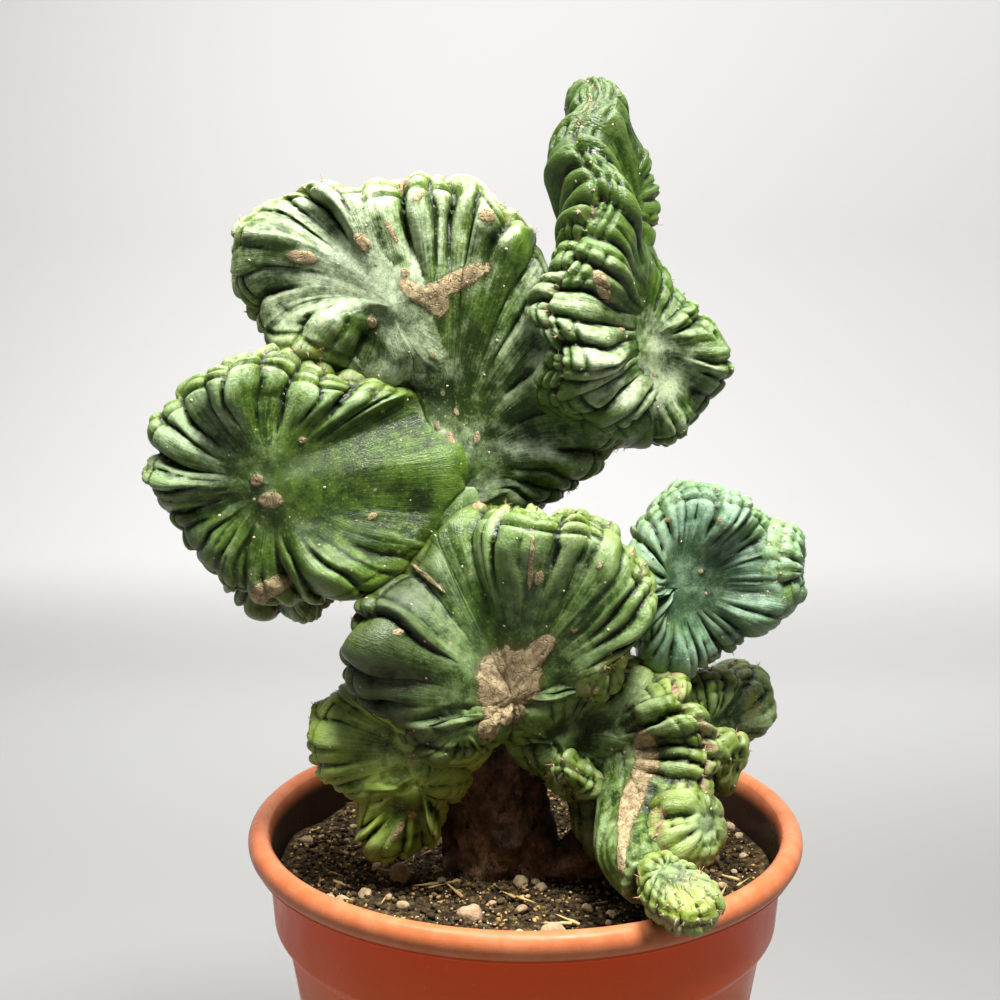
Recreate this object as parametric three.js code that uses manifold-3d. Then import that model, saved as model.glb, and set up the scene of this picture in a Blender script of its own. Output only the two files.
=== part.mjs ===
// A potted crested myrtillocactus: a nursery pot, its soil and pebbles, the woody trunk and the
// folded crests that grow from it. Millimetres, +Z up, origin under the middle of the pot's base.
import * as THREE from 'three';
import { mergeVertices } from 'three/addons/utils/BufferGeometryUtils.js';
import Module from 'manifold-3d';

const wasm = await Module();
wasm.setup();

// Pot
const potHeight = 140;
const rimRadius = 85;
const beadHeight = 8;
const beadWidth = 7;
const collarRadius = 77.5;
const collarHeight = 24;
const collarFlare = 0.09;
const ledge = 3.5;
const baseRadius = 57;
const wall = 2.2;
const floorThickness = 3;
const drainHoles = 6;
const drainHoleRadius = 4;
const drainCircleRadius = 38;
const drainHoleSides = 10;
const drainCut = 20;
const footRound = 1.2;
const lipDrop = 4.5;
const potSides = 44;

// Soil and pebbles
const clearance = 0.3;
const soilTop = 127;
const soilSides = 36;
const soilRings = 5;
const soilSlack = 0.6;
const soilWaves = [1.2, 0.8];
const soilDrop = 2.5;
const soilDropRing = [55, 75];
const crumbHeight = 1.3;
const pebbleCount = 9;
const pebbleSize = 3.9;
const pebbleSeed = 11;
const pebbleFlatness = [1, 0.8, 0.65];
const pebbleRing = [40, 66];
const pebbleSeat = 0.15;

// Crests: how finely the ribs are cut. Two ribs make a fold; foldSpan is its width in ribs.
const foldSpan = 3.7;
const foldVaries = 0.42;
const parting = [0.36, 0.64];
const girthLimit = 0.72;
const seat = 0.36;
const frontPlaces = [0.48, 0.82];
const backPlaces = [0.6];
const rimAngles = [15, 58, 90, 122, 165];
const slimThickness = 7;
const slimFrontPlaces = [0.7];
const slimRimAngles = [22, 90, 158];

// Crests: depths as a share of the width of what a crease parts, and of one rib's width
const foldDepth = 0.13;
const ribDepth = 0.17;
const edgeGroove = 0.38;
const ribRises = 0.16;
const waist = 0.14;
const sway = 2.6;
const swayWaves = [46, 27];

// Spines
const spineLength = 3.4;
const spineRadius = 0.42;
const spineRoot = 1.6;
const spineRootPerRib = 0.35;
const spineSpacing = 34;
const spineReach = 20;
const spineLean = 0.55;

// A crest is made of fans. A fan's spokes run from the hub to the growing edge: [angle, reach,
// lift, angle at which the rib leaves the hub, rib strength, share of the full girth, share of
// the rib's width]. Angles are in degrees from the fan's own level axis, thick gives half the
// fan's thickness at the hub and at the edge, rib is the width of one rib at the edge, and calm
// is how far out the hub stays smooth.
const crests = {
  upper: {
    main: {
      hub: [-21, -3, 244], yaw: 0, tilt: 0, thick: [12, 12], rib: 7.5, seed: 0.11,
      calm: 0.5,
      spokes: [
        [-90, 16, 0], [-45, 18, 0], [-12, 28, 0, 20], [2, 39, 2, 40], [14, 48, 3, 52],
        [27, 52, 4, 62], [45, 55, 3, 72], [60, 63, 2, 80], [69, 74, 3, 86], [77, 84, 4, 90],
        [84, 90, 2, 93], [93, 91, 4, 96, 1, 1, 1.3], [104, 90, 4, 100, 0.9, 1, 1.5],
        [113, 68, -4, 106, 0.6], [122, 59, -3, 114, 0.7, 1, 1.2], [133, 55, -3, 124, 0.8, 1, 1.2],
        [145, 50, -5, 138, 0.8, 0.9, 1.2], [158, 34, -8, 152, 0.5, 0.8], [176, 20, -5],
        [-140, 18, 0],
      ],
    },
    curl: {
      hub: [-36, -11, 297], yaw: -8, tilt: 6, thick: [12, 12], rib: 7.5, seed: 0.37,
      calm: 0.5,
      spokes: [
        [-60, 16, -20], [-10, 13, -22], [50, 19, -22], [84, 29, -13, 96],
        [110, 38, -1, 116, 1, 1, 1.2], [132, 46, 3, 124, 1, 1, 1.2], [149, 51, 5, 132],
        [162, 51, 6, 140], [174, 49, 6, 148], [186, 45, 8, 155], [197, 40, 9, 163],
        [208, 33, 10, 172], [222, 25, 6, 188, 1, 0.9], [243, 23, -4], [268, 17, -10],
      ],
    },
  },
  left: {
    disc: {
      hub: [-69, -25, 250], yaw: -6, tilt: -4, thick: [10, 12], rib: 6.8, seed: 0.53,
      calm: 0.36,
      spokes: [
        [-163, 38, 0], [-144, 35, 0, -152], [-124, 36, 0, -135], [-104, 38, 0, -118],
        [-84, 38, 1, -100, 0.9], [-62, 39, 0, -80, 0.6], [-41, 42, -6, -60, 0.4, 0.9],
        [-20, 45, -16, -30, 0.15, 0.7], [-3, 46, -21, -3, 0.1, 0.6], [15, 44, -22, 22, 0.15, 0.6],
        [33, 38, -19, 44, 0.3, 0.6], [52, 34, -11, 66, 0.7, 0.75], [74, 35, -2, 92],
        [97, 38, 0, 112], [114, 39, 0, 127], [133, 40, 0, 144], [154, 41, 0, 160], [178, 40, 0],
      ],
    },
    under: {
      hub: [-74, -6, 232], yaw: -20, tilt: -20, thick: [7, 9], rib: 6, seed: 0.91,
      calm: 0.3,
      spokes: [
        [-150, 24, 0], [-128, 29, 0], [-105, 34, 0], [-82, 34, 0], [-60, 28, 0], [-30, 18, 0],
        [20, 16, 0], [90, 14, 0], [160, 18, 0],
      ],
    },
  },
  middle: {
    main: {
      hub: [-5, -30, 192], yaw: 4, tilt: -8, thick: [10, 11.5], rib: 7.4, seed: 0.71,
      calm: 0.4,
      spokes: [
        [-90, 15, 0], [-40, 15, 0], [-5, 20, 0, -5], [14, 30, 0, 8], [24, 42, 0, 16, 1, 1, 1.2],
        [33, 49, 0, 26, 1, 1, 1.1], [46, 52, 0, 42, 1, 1, 0.9], [61, 55, 0, 60, 1, 1, 0.85],
        [75, 55, 0, 75, 1, 1, 0.9], [87, 52, -6, 90, 1, 1, 0.9], [99, 46, -19, 100, 0.3, 0.9],
        [116, 40, -24, 114, 0.2, 0.9, 1.4], [133, 40, -18, 130, 0.5, 0.9, 1.5],
        [148, 46, -8, 146, 1, 1, 1.5], [161, 51, 0, 158, 1, 1, 1.5],
        [172, 50, 0, 172, 1, 0.9, 1.3], [183, 45, -2, 186, 1, 0.85], [197, 34, -4, 200, 1, 0.9],
        [217, 24, 0, 218], [245, 18, 0],
      ],
    },
    thumb: {
      hub: [-17, -34, 182], yaw: -4, tilt: 0, thick: [6, 6.5], rib: 7, seed: 0.27,
      calm: 0.4,
      spokes: [
        [160, 17, 0], [185, 20, 0], [210, 19, 0], [240, 13, 0], [290, 9, -2], [0, 10, -4],
        [60, 9, -3], [120, 12, -2],
      ],
    },
    bead: {
      hub: [21, -34, 198], yaw: 20, tilt: 20, thick: [4, 4.5], rib: 3, seed: 0.44,
      calm: 0.1,
      spokes: [
        [-90, 9, 0], [-30, 7, 0], [30, 7, 0], [90, 6, 0], [150, 7, 0], [210, 8, 0],
      ],
    },
    nub: {
      hub: [14, -33, 164], yaw: -30, tilt: -50, thick: [4, 4.5], rib: 4.2, seed: 0.64,
      calm: 0.3,
      spokes: [
        [-90, 7, 0], [-30, 7, 0], [30, 7, 0], [90, 12, 0], [150, 7, 0], [210, 7, 0],
      ],
    },
    elbow: {
      hub: [7, -25, 177], yaw: 16, tilt: -10, thick: [10, 9.5], rib: 6.5, seed: 0.19,
      calm: 0.45,
      spokes: [
        [-95, 16, 0], [-70, 25, 4], [-45, 21, 0], [-15, 25, 0], [11, 29, 0], [34, 31, 4],
        [60, 22, 0], [90, 20, 0], [135, 18, 0], [180, 14, 0], [225, 12, 0],
      ],
    },
  },
  tall: {
    ridge: {
      hub: [27, 2, 288], yaw: 78, tilt: 0, thick: [9, 12.5], rib: 5.2, seed: 0.43,
      calm: 0.3,
      spokes: [
        [-90, 26, 0, -90, 1, 1, 1.5], [-30, 16, 2], [35, 17, 0], [64, 38, -9, 64, 1, 0.6],
        [80, 60, -12, 80, 1, 0.5], [94, 75, -11, 94, 1, 0.64, 0.8],
        [107, 68, -7, 107, 1, 0.8, 0.85], [120, 57, -5, 120, 1, 0.95], [136, 46, -7],
        [155, 42, -11, 155, 1, 1, 1.2], [175, 41, -14, 175, 1, 1, 1.4],
        [195, 39, -14, 195, 1, 1, 1.5], [212, 37, -8, 212, 1, 1, 1.5],
        [230, 33, -2, 230, 1, 1, 1.5],
      ],
    },
    tuft: {
      hub: [21, -10, 325], yaw: 24, tilt: 4, thick: [5, 4.5], rib: 3.4, seed: 0.23,
      calm: 0.1,
      spokes: [
        [-110, 9, -3], [-65, 14, -1], [-35, 16, 0], [-5, 18, 0], [25, 19, 0], [52, 21, 0],
        [76, 18, -1], [110, 11, -2], [180, 8, -3],
      ],
    },
    wing: {
      hub: [29, -4, 286], yaw: 14, tilt: -4, thick: [12, 10.5], rib: 5.6, seed: 0.97,
      calm: 0.6,
      spokes: [
        [-76, 33, 0], [-52, 33, 0], [-28, 34, 0], [-5, 32, 0], [18, 26, 0], [40, 23, 0, 40, 0.8],
        [66, 26, 0, 66, 0.5], [86, 30, -3, 86, 0.2, 0.8], [112, 20, -3, 112, 0.2], [180, 12, 0],
        [235, 16, 0], [262, 28, 2],
      ],
    },
  },
  blue: {
    disc: {
      hub: [42, -16, 218], yaw: 12, tilt: 0, thick: [8, 10], rib: 5, seed: 0.61,
      calm: 0.4,
      spokes: [
        [-150, 12, 0], [-122, 20, 0], [-105, 26, 0], [-85, 28, 0], [-62, 29, 0], [-45, 31, 0],
        [-30, 34, 0], [-15, 36, -1], [0, 36, -3], [15, 36, -2], [31, 35, 0], [53, 33, 0],
        [77, 31, 0], [101, 26, 0], [122, 21, 0], [145, 17, 0], [180, 18.5, 0],
      ],
    },
    bud: {
      hub: [76, -9, 220], yaw: 72, tilt: 0, thick: [5, 6], rib: 3.6, seed: 0.35,
      calm: 0.15,
      spokes: [
        [-90, 12, 0], [-50, 12, 0], [-10, 10, 2], [30, 11, 0], [65, 14, 0], [100, 14, 0],
        [140, 12, 0], [180, 11, 0], [220, 11, 0],
      ],
    },
  },
  low_left: {
    upper: {
      hub: [-26, -26, 172], yaw: -12, tilt: 0, thick: [9, 10], rib: 5.5, seed: 0.29,
      calm: 0.5,
      spokes: [
        [127, 18, 0], [141, 26, 0], [153, 34, 0], [169, 39, 2], [190, 39, 3], [206, 36, 2],
        [222, 25, 0], [260, 14, 0], [0, 14, 0], [70, 14, 0],
      ],
    },
    lower: {
      hub: [-31, -26, 163], yaw: -5, tilt: -4, thick: [8, 9], rib: 6, seed: 0.83,
      calm: 0.45,
      spokes: [
        [205, 20, 0], [225, 28, 0], [240, 31, 2], [258, 28, 2], [278, 24, 0], [300, 16, 0],
        [0, 14, 0], [90, 12, 0], [160, 14, 0],
      ],
    },
  },
  low_right: {
    ridge: {
      hub: [24, -13, 166], yaw: -52, tilt: 0, thick: [9, 11], rib: 6.4, seed: 0.31,
      calm: 0.25,
      spokes: [
        [-85, 30, 0], [-62, 36, 2], [-42, 43, 3], [-22, 46, 3], [-2, 42, 2], [18, 42, -3],
        [37, 40, -5], [55, 33, -4], [90, 22, 0], [150, 16, 0], [220, 16, 0], [250, 22, 0],
      ],
    },
    foot: {
      hub: [36, -73, 149], yaw: 20, tilt: 76, thick: [6, 6.5], rib: 4, seed: 0.77,
      calm: 0.45,
      spokes: [
        [-125, 14, -1], [-95, 19, 0], [-62, 19, 0], [-32, 16, 0], [0, 13, 0], [40, 10, 0],
        [90, 9, 0], [150, 8, 0], [180, 9, 0], [-150, 11, -1],
      ],
    },
    nub: {
      hub: [45, -48, 154], yaw: 62, tilt: 35, thick: [6.5, 6.5], rib: 5.4, seed: 0.52,
      calm: 0.6,
      spokes: [
        [-90, 11, 0], [-45, 12, 0], [0, 13, 0], [45, 12, 0], [90, 11, 0], [150, 12, -2],
        [210, 12, -2],
      ],
    },
    side: {
      hub: [48, -8, 170], yaw: 36, tilt: -10, thick: [9, 8.5], rib: 3.6, seed: 0.15,
      calm: 0.45,
      spokes: [
        [-80, 24, 0], [-58, 28, -3, -58, 1, 0.9], [-38, 31, 1, -38, 1, 0.7, 1.3],
        [-18, 27, 0, -18, 1, 0.9], [5, 31, 2], [26, 33, 2], [46, 27, 0], [70, 21, 0], [100, 19, 0],
        [140, 20, 0], [200, 24, 0], [250, 24, 0],
      ],
    },
    tongue: {
      hub: [60, -18, 166], yaw: 34, tilt: -12, thick: [4, 4], rib: 6, seed: 0.36,
      calm: 0.7,
      spokes: [
        [-90, 14, 0], [-55, 9, 0], [0, 8, 0], [60, 8, -2], [130, 8, -2], [190, 7, 0], [235, 9, 0],
      ],
    },
  },
};

// Green stems that a crest stands on, each a limb through [x, y, z, radius] stations.
const crestStems = {
  middle: [
    [-10, -24, 196, 11], [-15, -20, 210, 12], [-19, -13, 226, 12.5], [-21, -7, 242, 12],
  ],
  low_right: [
    [26, -14, 184, 9], [31, -22, 172, 9.5], [30, -35, 158, 9.5], [28, -50, 150, 9],
    [32, -67, 147, 7],
  ],
};

// The woody parts, each a limb through [x, y, z, radius] stations.
const trunkLimbs = [
  [[-6, -4, 98, 13], [-5, -4, 118, 19], [-7, -6, 132, 18], [-9, -10, 150, 16], [-9, -16, 168, 14],
    [-8, -22, 180, 10]],
  [[-8, -6, 150, 14], [-10, -4, 180, 13], [-16, -1, 210, 12], [-21, 0, 236, 11]],
  [[2, -6, 112, 9], [14, -12, 128, 9], [24, -14, 140, 8.5], [27, -14, 150, 8]],
];
const limbSides = 14;
const trunkWaves = [[0.07, 3, 1.8], [0.05, 5, -1.2]];
const stemWaves = [[0.05, 4, 0.8]];

const colours = {
  pot: { color: 0xa9552f, roughness: 0.32, metalness: 0 },
  soil: { color: 0x33241a, roughness: 0.95, metalness: 0 },
  pebble: { color: 0x9c8266, roughness: 0.8, metalness: 0 },
  trunk: { color: 0x4a3628, roughness: 0.9, metalness: 0 },
  upper: { color: 0x5f8a52, roughness: 0.5, metalness: 0 },
  left: { color: 0x55804f, roughness: 0.5, metalness: 0 },
  middle: { color: 0x4d7a3c, roughness: 0.5, metalness: 0 },
  tall: { color: 0x5f9150, roughness: 0.5, metalness: 0 },
  blue: { color: 0x62937d, roughness: 0.5, metalness: 0 },
  low_left: { color: 0x5c8a34, roughness: 0.5, metalness: 0 },
  low_right: { color: 0x86ab55, roughness: 0.5, metalness: 0 },
};

const group = new THREE.Group();

function clamp01(x) {
  return Math.min(Math.max(x, 0), 1);
}

function smooth(from, to, x) {
  const t = clamp01((x - from) / (to - from));
  return t * t * (3 - 2 * t);
}

// A repeatable value from 0 to 1 for a whole number.
function hashed(k, seed) {
  const x = Math.sin(k * 12.9898 + seed * 78.233) * 43758.5453;
  return x - Math.floor(x);
}

// 0 at both ends of t in [0, 1] and 1 between, with steep ends.
function dome(t) {
  return Math.sqrt(Math.max(1 - Math.abs(2 * t - 1) ** 2.3, 0));
}

function solidOf(geometry) {
  const bare = geometry.clone();
  bare.deleteAttribute('normal');
  bare.deleteAttribute('uv');
  const merged = mergeVertices(bare, 1e-4);
  return new wasm.Manifold(new wasm.Mesh({
    numProp: 3,
    vertProperties: merged.attributes.position.array,
    triVerts: new Uint32Array(merged.index.array),
  }));
}

function geometryOf(solid) {
  const mesh = solid.getMesh();
  const geometry = new THREE.BufferGeometry();
  geometry.setAttribute('position', new THREE.BufferAttribute(mesh.vertProperties, 3));
  geometry.setIndex(new THREE.BufferAttribute(mesh.triVerts, 1));
  geometry.computeVertexNormals();
  return geometry;
}

// The largest body of a solid, without loose scraps.
function mainBody(solid) {
  const bodies = solid.decompose();
  bodies.sort((a, b) => b.volume() - a.volume());
  return bodies[0];
}

function addNode(name, solid, look) {
  const mesh = new THREE.Mesh(geometryOf(mainBody(solid)), new THREE.MeshStandardMaterial(look));
  mesh.name = name;
  group.add(mesh);
}

function union(solids) {
  return solids.reduce((all, next) => all.add(next));
}

// The fan's own frame: n faces out of it, e1 is level and e2 points up along it.
function frameOf(crest) {
  const yaw = THREE.MathUtils.degToRad(crest.yaw);
  const tilt = THREE.MathUtils.degToRad(crest.tilt);
  const n = new THREE.Vector3(
    Math.sin(yaw) * Math.cos(tilt),
    -Math.cos(yaw) * Math.cos(tilt),
    Math.sin(tilt),
  );
  const e1 = new THREE.Vector3(Math.cos(yaw), Math.sin(yaw), 0);
  const e2 = new THREE.Vector3().crossVectors(n, e1);
  return new THREE.Matrix4().makeBasis(e1, e2, n).setPosition(...crest.hub);
}

// The growing edge as a closed curve, with the point where each rib has half left the hub.
function edgeOf(crest) {
  const ends = [];
  const halfway = [];
  const shares = { strength: [], girth: [], pace: [] };
  for (const [angle, reach, lift, leaving = angle, strength = 1, girth = 1, pace = 1] of crest.spokes) {
    const a = THREE.MathUtils.degToRad(angle);
    const b = THREE.MathUtils.degToRad(leaving);
    ends.push(new THREE.Vector3(reach * Math.cos(a), reach * Math.sin(a), lift));
    halfway.push(new THREE.Vector3(0.5 * reach * Math.cos(b), 0.5 * reach * Math.sin(b), 0.2 * lift));
    shares.strength.push(strength);
    shares.girth.push(girth);
    shares.pace.push(pace);
  }
  const edge = new THREE.CatmullRomCurve3(ends, true, 'centripetal');
  edge.arcLengthDivisions = 600;
  return {
    edge,
    length: edge.getLength(),
    middle: new THREE.CatmullRomCurve3(halfway, true, 'centripetal'),
    shares,
  };
}

// A spoke's share, blended between the two spokes round t.
function shareAt(values, t) {
  const place = t * values.length;
  const i = Math.floor(place) % values.length;
  return THREE.MathUtils.lerp(values[i], values[(i + 1) % values.length], place - Math.floor(place));
}

// The edge curve's own parameter at a length s along it.
function turnAt(outline, s) {
  const u = (((s / outline.length) % 1) + 1) % 1;
  return outline.edge.getUtoTmapping(u);
}

// One column of the fan at a length s along the growing edge.
function columnAt(crest, outline, s) {
  const t = turnAt(outline, s);
  const end = outline.edge.getPoint(t);
  const half = outline.middle.getPoint(t);
  const reach = Math.hypot(end.x, end.y);
  const radius = Math.min(crest.thick[1] * shareAt(outline.shares.girth, t), girthLimit * reach);
  const outward = end.clone().sub(half).normalize();
  const centre = end.clone().addScaledVector(outward, -radius);
  half.multiplyScalar(Math.hypot(centre.x, centre.y) / reach);
  const strength = shareAt(outline.shares.strength, t);
  return { reach, radius, outward, centre, half, strength };
}

// Where the ribs part along the edge, every other one the border of a fold. The ribs of the
// back face sit halfway between those of the front.
function ribBreaks(crest, outline) {
  const folds = [0];
  while (folds.at(-1) < outline.length) {
    const pace = shareAt(outline.shares.pace, turnAt(outline, folds.at(-1)));
    const varied = 1 + foldVaries * (2 * hashed(folds.length, crest.seed) - 1);
    folds.push(folds.at(-1) + foldSpan * crest.rib * pace * varied);
  }
  if (folds.length > 4 && folds.at(-1) - outline.length > outline.length - folds.at(-2)) {
    folds.pop();
  }
  const scale = outline.length / folds.at(-1);
  const breaks = [0];
  for (let i = 0; i + 1 < folds.length; i += 1) {
    const place = THREE.MathUtils.lerp(...parting, hashed(i, crest.seed + 0.21));
    breaks.push(THREE.MathUtils.lerp(folds[i], folds[i + 1], place) * scale);
    breaks.push(folds[i + 1] * scale);
  }
  return breaks;
}

function halfwayBreaks(breaks, length) {
  const between = breaks.slice(1).map((b, i) => (b + breaks[i]) / 2);
  return [...between, between[0] + length];
}

// The crease beside s: how far it is open there, 0 on a rib's top, the width round it, and the rib.
function creaseAt(breaks, length, s, rho, { from, to, span, seed }) {
  const place = breaks[0] + ((((s - breaks[0]) % length) + length) % length);
  const count = breaks.length - 1;
  let i = count - 1;
  while (i > 0 && breaks[i] > place) {
    i -= 1;
  }
  const widthOf = (k) => breaks[((k + count) % count) + 1] - breaks[(k + count) % count];
  const t = clamp01((place - breaks[i]) / widthOf(i));
  const side = t < 0.5 ? i : (i + 1) % count;
  const start = from + (to - from) * hashed(side, seed);
  return {
    open: (1 - dome(t)) * smooth(0, 1, (rho - start) / span),
    width: 0.5 * (widthOf(side) + widthOf(side - 1)),
    rib: i,
    top: dome(t),
  };
}

// How far the surface is drawn in at s against the full tops of the ribs.
function drawnIn(crest, ribs, length, s, rho, salt) {
  const { calm, seed } = crest;
  const folds = ribs.filter((_, k) => k % 2 === 0);
  const fold = creaseAt(folds, length, s, rho, {
    from: calm, to: calm + 0.3, span: 0.4, seed: seed + 0.1 + salt,
  });
  const crease = creaseAt(ribs, length, s, rho, {
    from: Math.max(calm, 0.3), to: calm + 0.45, span: 0.26, seed: seed + 0.3 + salt,
  });
  const wide = 0.2 + 0.8 * rho;
  const rise = ribRises * crest.rib * smooth(calm, calm + 0.5, rho)
    * (hashed(crease.rib, seed + 0.9 + salt) - 0.6) * crease.top;
  return wide * (foldDepth * fold.width * fold.open + ribDepth * crease.width * crease.open) - rise;
}

function crestGeometry(crest, grow) {
  const outline = edgeOf(crest);
  const { length } = outline;
  const front = ribBreaks(crest, outline);
  const back = halfwayBreaks(front, length);
  const stations = [];
  front.slice(0, -1).forEach((s, i) => {
    stations.push(s, (s + front[i + 1]) / 2);
  });
  const columns = stations.map((s) => columnAt(crest, outline, s));
  const count = columns.length;

  columns.forEach((column, i) => {
    const before = columns[(i + count - 1) % count].centre;
    const after = columns[(i + 1) % count].centre;
    const along = after.clone().sub(before);
    column.normal = new THREE.Vector3().crossVectors(column.outward, along);
    if (column.normal.z < 0) {
      column.normal.negate();
    }
    column.normal.normalize();
    const turn = (stations[i] / length) * 2 * Math.PI;
    const [long, short] = swayWaves.map((wave) => Math.round(length / wave));
    const waves = Math.sin(turn * long + 7 * crest.seed) + 0.6 * Math.sin(turn * short + 19 * crest.seed);
    column.sway = sway * waves * smooth(15, 30, column.reach);
  });

  const slim = crest.thick[1] < slimThickness;
  const rows = [
    ...(slim ? slimFrontPlaces : frontPlaces).map((rho) => ({ rho, side: 1 })),
    ...(slim ? slimRimAngles : rimAngles).map((degrees) => (
      { rho: 1, angle: THREE.MathUtils.degToRad(degrees) }
    )),
    ...backPlaces.map((rho) => ({ rho, side: -1 })),
  ];
  const positions = [];
  const toWorld = frameOf(crest);
  const point = new THREE.Vector3();
  const way = new THREE.Vector3();

  function push(base, direction, distance) {
    point.copy(base).addScaledVector(direction, distance).applyMatrix4(toWorld);
    positions.push(point.x, point.y, point.z);
  }

  for (const { rho, side, angle } of rows) {
    columns.forEach((column, i) => {
      const base = new THREE.Vector3();
      let thickness = column.radius;
      let isBack = side === -1;
      let onEdge = false;
      if (angle === undefined) {
        base.addScaledVector(column.half, 2 * rho * (1 - rho));
        base.addScaledVector(column.centre, rho * rho);
        way.set(0, 0, 1 - rho ** 1.5).addScaledVector(column.normal, rho ** 1.5).normalize();
        way.multiplyScalar(side);
        thickness = THREE.MathUtils.lerp(crest.thick[0], column.radius, smooth(0, 1, rho));
        thickness *= 1 - waist * Math.sin(Math.PI * rho) ** 2;
      } else {
        base.copy(column.centre);
        way.copy(column.normal).multiplyScalar(Math.cos(angle));
        way.addScaledVector(column.outward, Math.sin(angle));
        isBack = angle > Math.PI / 2;
        onEdge = Math.abs(angle - Math.PI / 2) < 0.05;
      }
      base.addScaledVector(column.normal, column.sway * rho ** 3);
      const ribs = isBack ? back : front;
      const salt = isBack ? 0.5 : 0;
      const depth = onEdge
        ? edgeGroove * crest.rib
        : drawnIn(crest, ribs, length, stations[i], rho, salt) * column.strength;
      push(base, way, thickness - depth + grow);
    });
  }
  const zero = new THREE.Vector3();
  way.set(0, 0, 1);
  push(zero, way, crest.thick[0] + grow);
  push(zero, way, -crest.thick[0] - grow);

  const index = [];
  for (let r = 0; r + 1 < rows.length; r += 1) {
    for (let i = 0; i < count; i += 1) {
      const a = r * count + i;
      const b = r * count + ((i + 1) % count);
      index.push(a, a + count, b + count, a, b + count, b);
    }
  }
  const frontPole = rows.length * count;
  const lastRow = (rows.length - 1) * count;
  for (let i = 0; i < count; i += 1) {
    const next = (i + 1) % count;
    index.push(frontPole, i, next, frontPole + 1, lastRow + next, lastRow + i);
  }
  const geometry = new THREE.BufferGeometry();
  geometry.setAttribute('position', new THREE.Float32BufferAttribute(positions, 3));
  geometry.setIndex(index);
  return geometry;
}

// Needles that stand along the growing edge, their roots sunk in.
function spinesOf(crest) {
  const outline = edgeOf(crest);
  const toWorld = frameOf(crest);
  const needles = [];
  const total = Math.round(outline.length / spineSpacing);
  const sunk = spineRoot + spineRootPerRib * crest.rib;
  const long = spineLength + sunk;
  for (let i = 0; i < total; i += 1) {
    const stray = 0.2 + 0.6 * hashed(i, crest.seed + 0.7);
    const s = ((i + stray) * outline.length) / total;
    const column = columnAt(crest, outline, s);
    if (column.reach < spineReach) {
      continue;
    }
    const before = columnAt(crest, outline, s - 1.5).centre;
    const after = columnAt(crest, outline, s + 1.5).centre;
    const normal = new THREE.Vector3().crossVectors(column.outward, after.sub(before)).normalize();
    const lean = spineLean * (2 * hashed(i, crest.seed + 0.9) - 1);
    const way = column.outward.clone().multiplyScalar(Math.cos(lean));
    way.addScaledVector(normal, Math.sin(lean));
    const foot = column.centre.clone().addScaledVector(way, column.radius - sunk);
    const needle = new THREE.ConeGeometry(spineRadius, long, 3);
    needle.translate(0, long / 2, 0);
    needle.applyQuaternion(new THREE.Quaternion().setFromUnitVectors(THREE.Object3D.DEFAULT_UP, way));
    needle.translate(foot.x, foot.y, foot.z);
    needle.applyMatrix4(toWorld);
    needles.push(solidOf(needle));
  }
  return needles;
}

// A limb through its stations; each wave round it has a depth as a share of the radius, a count,
// and a twist from one station to the next.
function limbGeometry(stations, waves, grow) {
  const path = new THREE.CatmullRomCurve3(stations.map(([x, y, z]) => new THREE.Vector3(x, y, z)));
  const steps = 2 * (stations.length - 1);
  const positions = [];
  for (let r = 0; r <= steps; r += 1) {
    const t = r / steps;
    const centre = path.getPoint(t);
    const along = path.getTangent(t);
    const side = new THREE.Vector3(0, 1, 0).cross(along).normalize();
    const front = new THREE.Vector3().crossVectors(along, side);
    const place = t * (stations.length - 1);
    const k = Math.min(Math.floor(place), stations.length - 2);
    const radius = THREE.MathUtils.lerp(stations[k][3], stations[k + 1][3], place - k) + grow;
    for (let i = 0; i < limbSides; i += 1) {
      const angle = (2 * Math.PI * i) / limbSides;
      const bark = waves.reduce(
        (all, [depth, count, twist]) => all + depth * Math.sin(count * angle + twist * place),
        1,
      );
      const spot = centre.clone();
      spot.addScaledVector(side, radius * bark * Math.cos(angle));
      spot.addScaledVector(front, radius * bark * Math.sin(angle));
      positions.push(spot.x, spot.y, spot.z);
    }
  }
  const bottom = path.getPoint(0);
  const top = path.getPoint(1);
  positions.push(bottom.x, bottom.y, bottom.z, top.x, top.y, top.z);
  const index = [];
  for (let r = 0; r < steps; r += 1) {
    for (let i = 0; i < limbSides; i += 1) {
      const a = r * limbSides + i;
      const b = r * limbSides + ((i + 1) % limbSides);
      index.push(a, b, b + limbSides, a, b + limbSides, a + limbSides);
    }
  }
  const low = (steps + 1) * limbSides;
  for (let i = 0; i < limbSides; i += 1) {
    const next = (i + 1) % limbSides;
    index.push(low, next, i, low + 1, steps * limbSides + i, steps * limbSides + next);
  }
  const geometry = new THREE.BufferGeometry();
  geometry.setAttribute('position', new THREE.Float32BufferAttribute(positions, 3));
  geometry.setIndex(index);
  return geometry;
}

function outwardSolid(geometry) {
  const solid = solidOf(geometry);
  if (solid.volume() > 0) {
    return solid;
  }
  const flipped = geometry.clone();
  flipped.setIndex([...geometry.index.array].reverse());
  return solidOf(flipped);
}

function trunkSolid(grow) {
  return union(trunkLimbs.map((stations) => outwardSolid(limbGeometry(stations, trunkWaves, grow))));
}

function crestSolid(name, grow) {
  const fans = Object.values(crests[name]);
  const parts = fans.map((crest) => outwardSolid(crestGeometry(crest, grow)));
  if (crestStems[name]) {
    parts.push(outwardSolid(limbGeometry(crestStems[name], stemWaves, grow)));
  }
  return union(parts);
}

const bodyTop = potHeight - beadHeight - collarHeight;

// The pot's inner radius at a height.
function innerRadius(z) {
  if (z >= bodyTop) {
    return collarRadius - wall + (z - bodyTop) * collarFlare;
  }
  return THREE.MathUtils.lerp(baseRadius, collarRadius - ledge, z / bodyTop) - wall;
}

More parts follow.
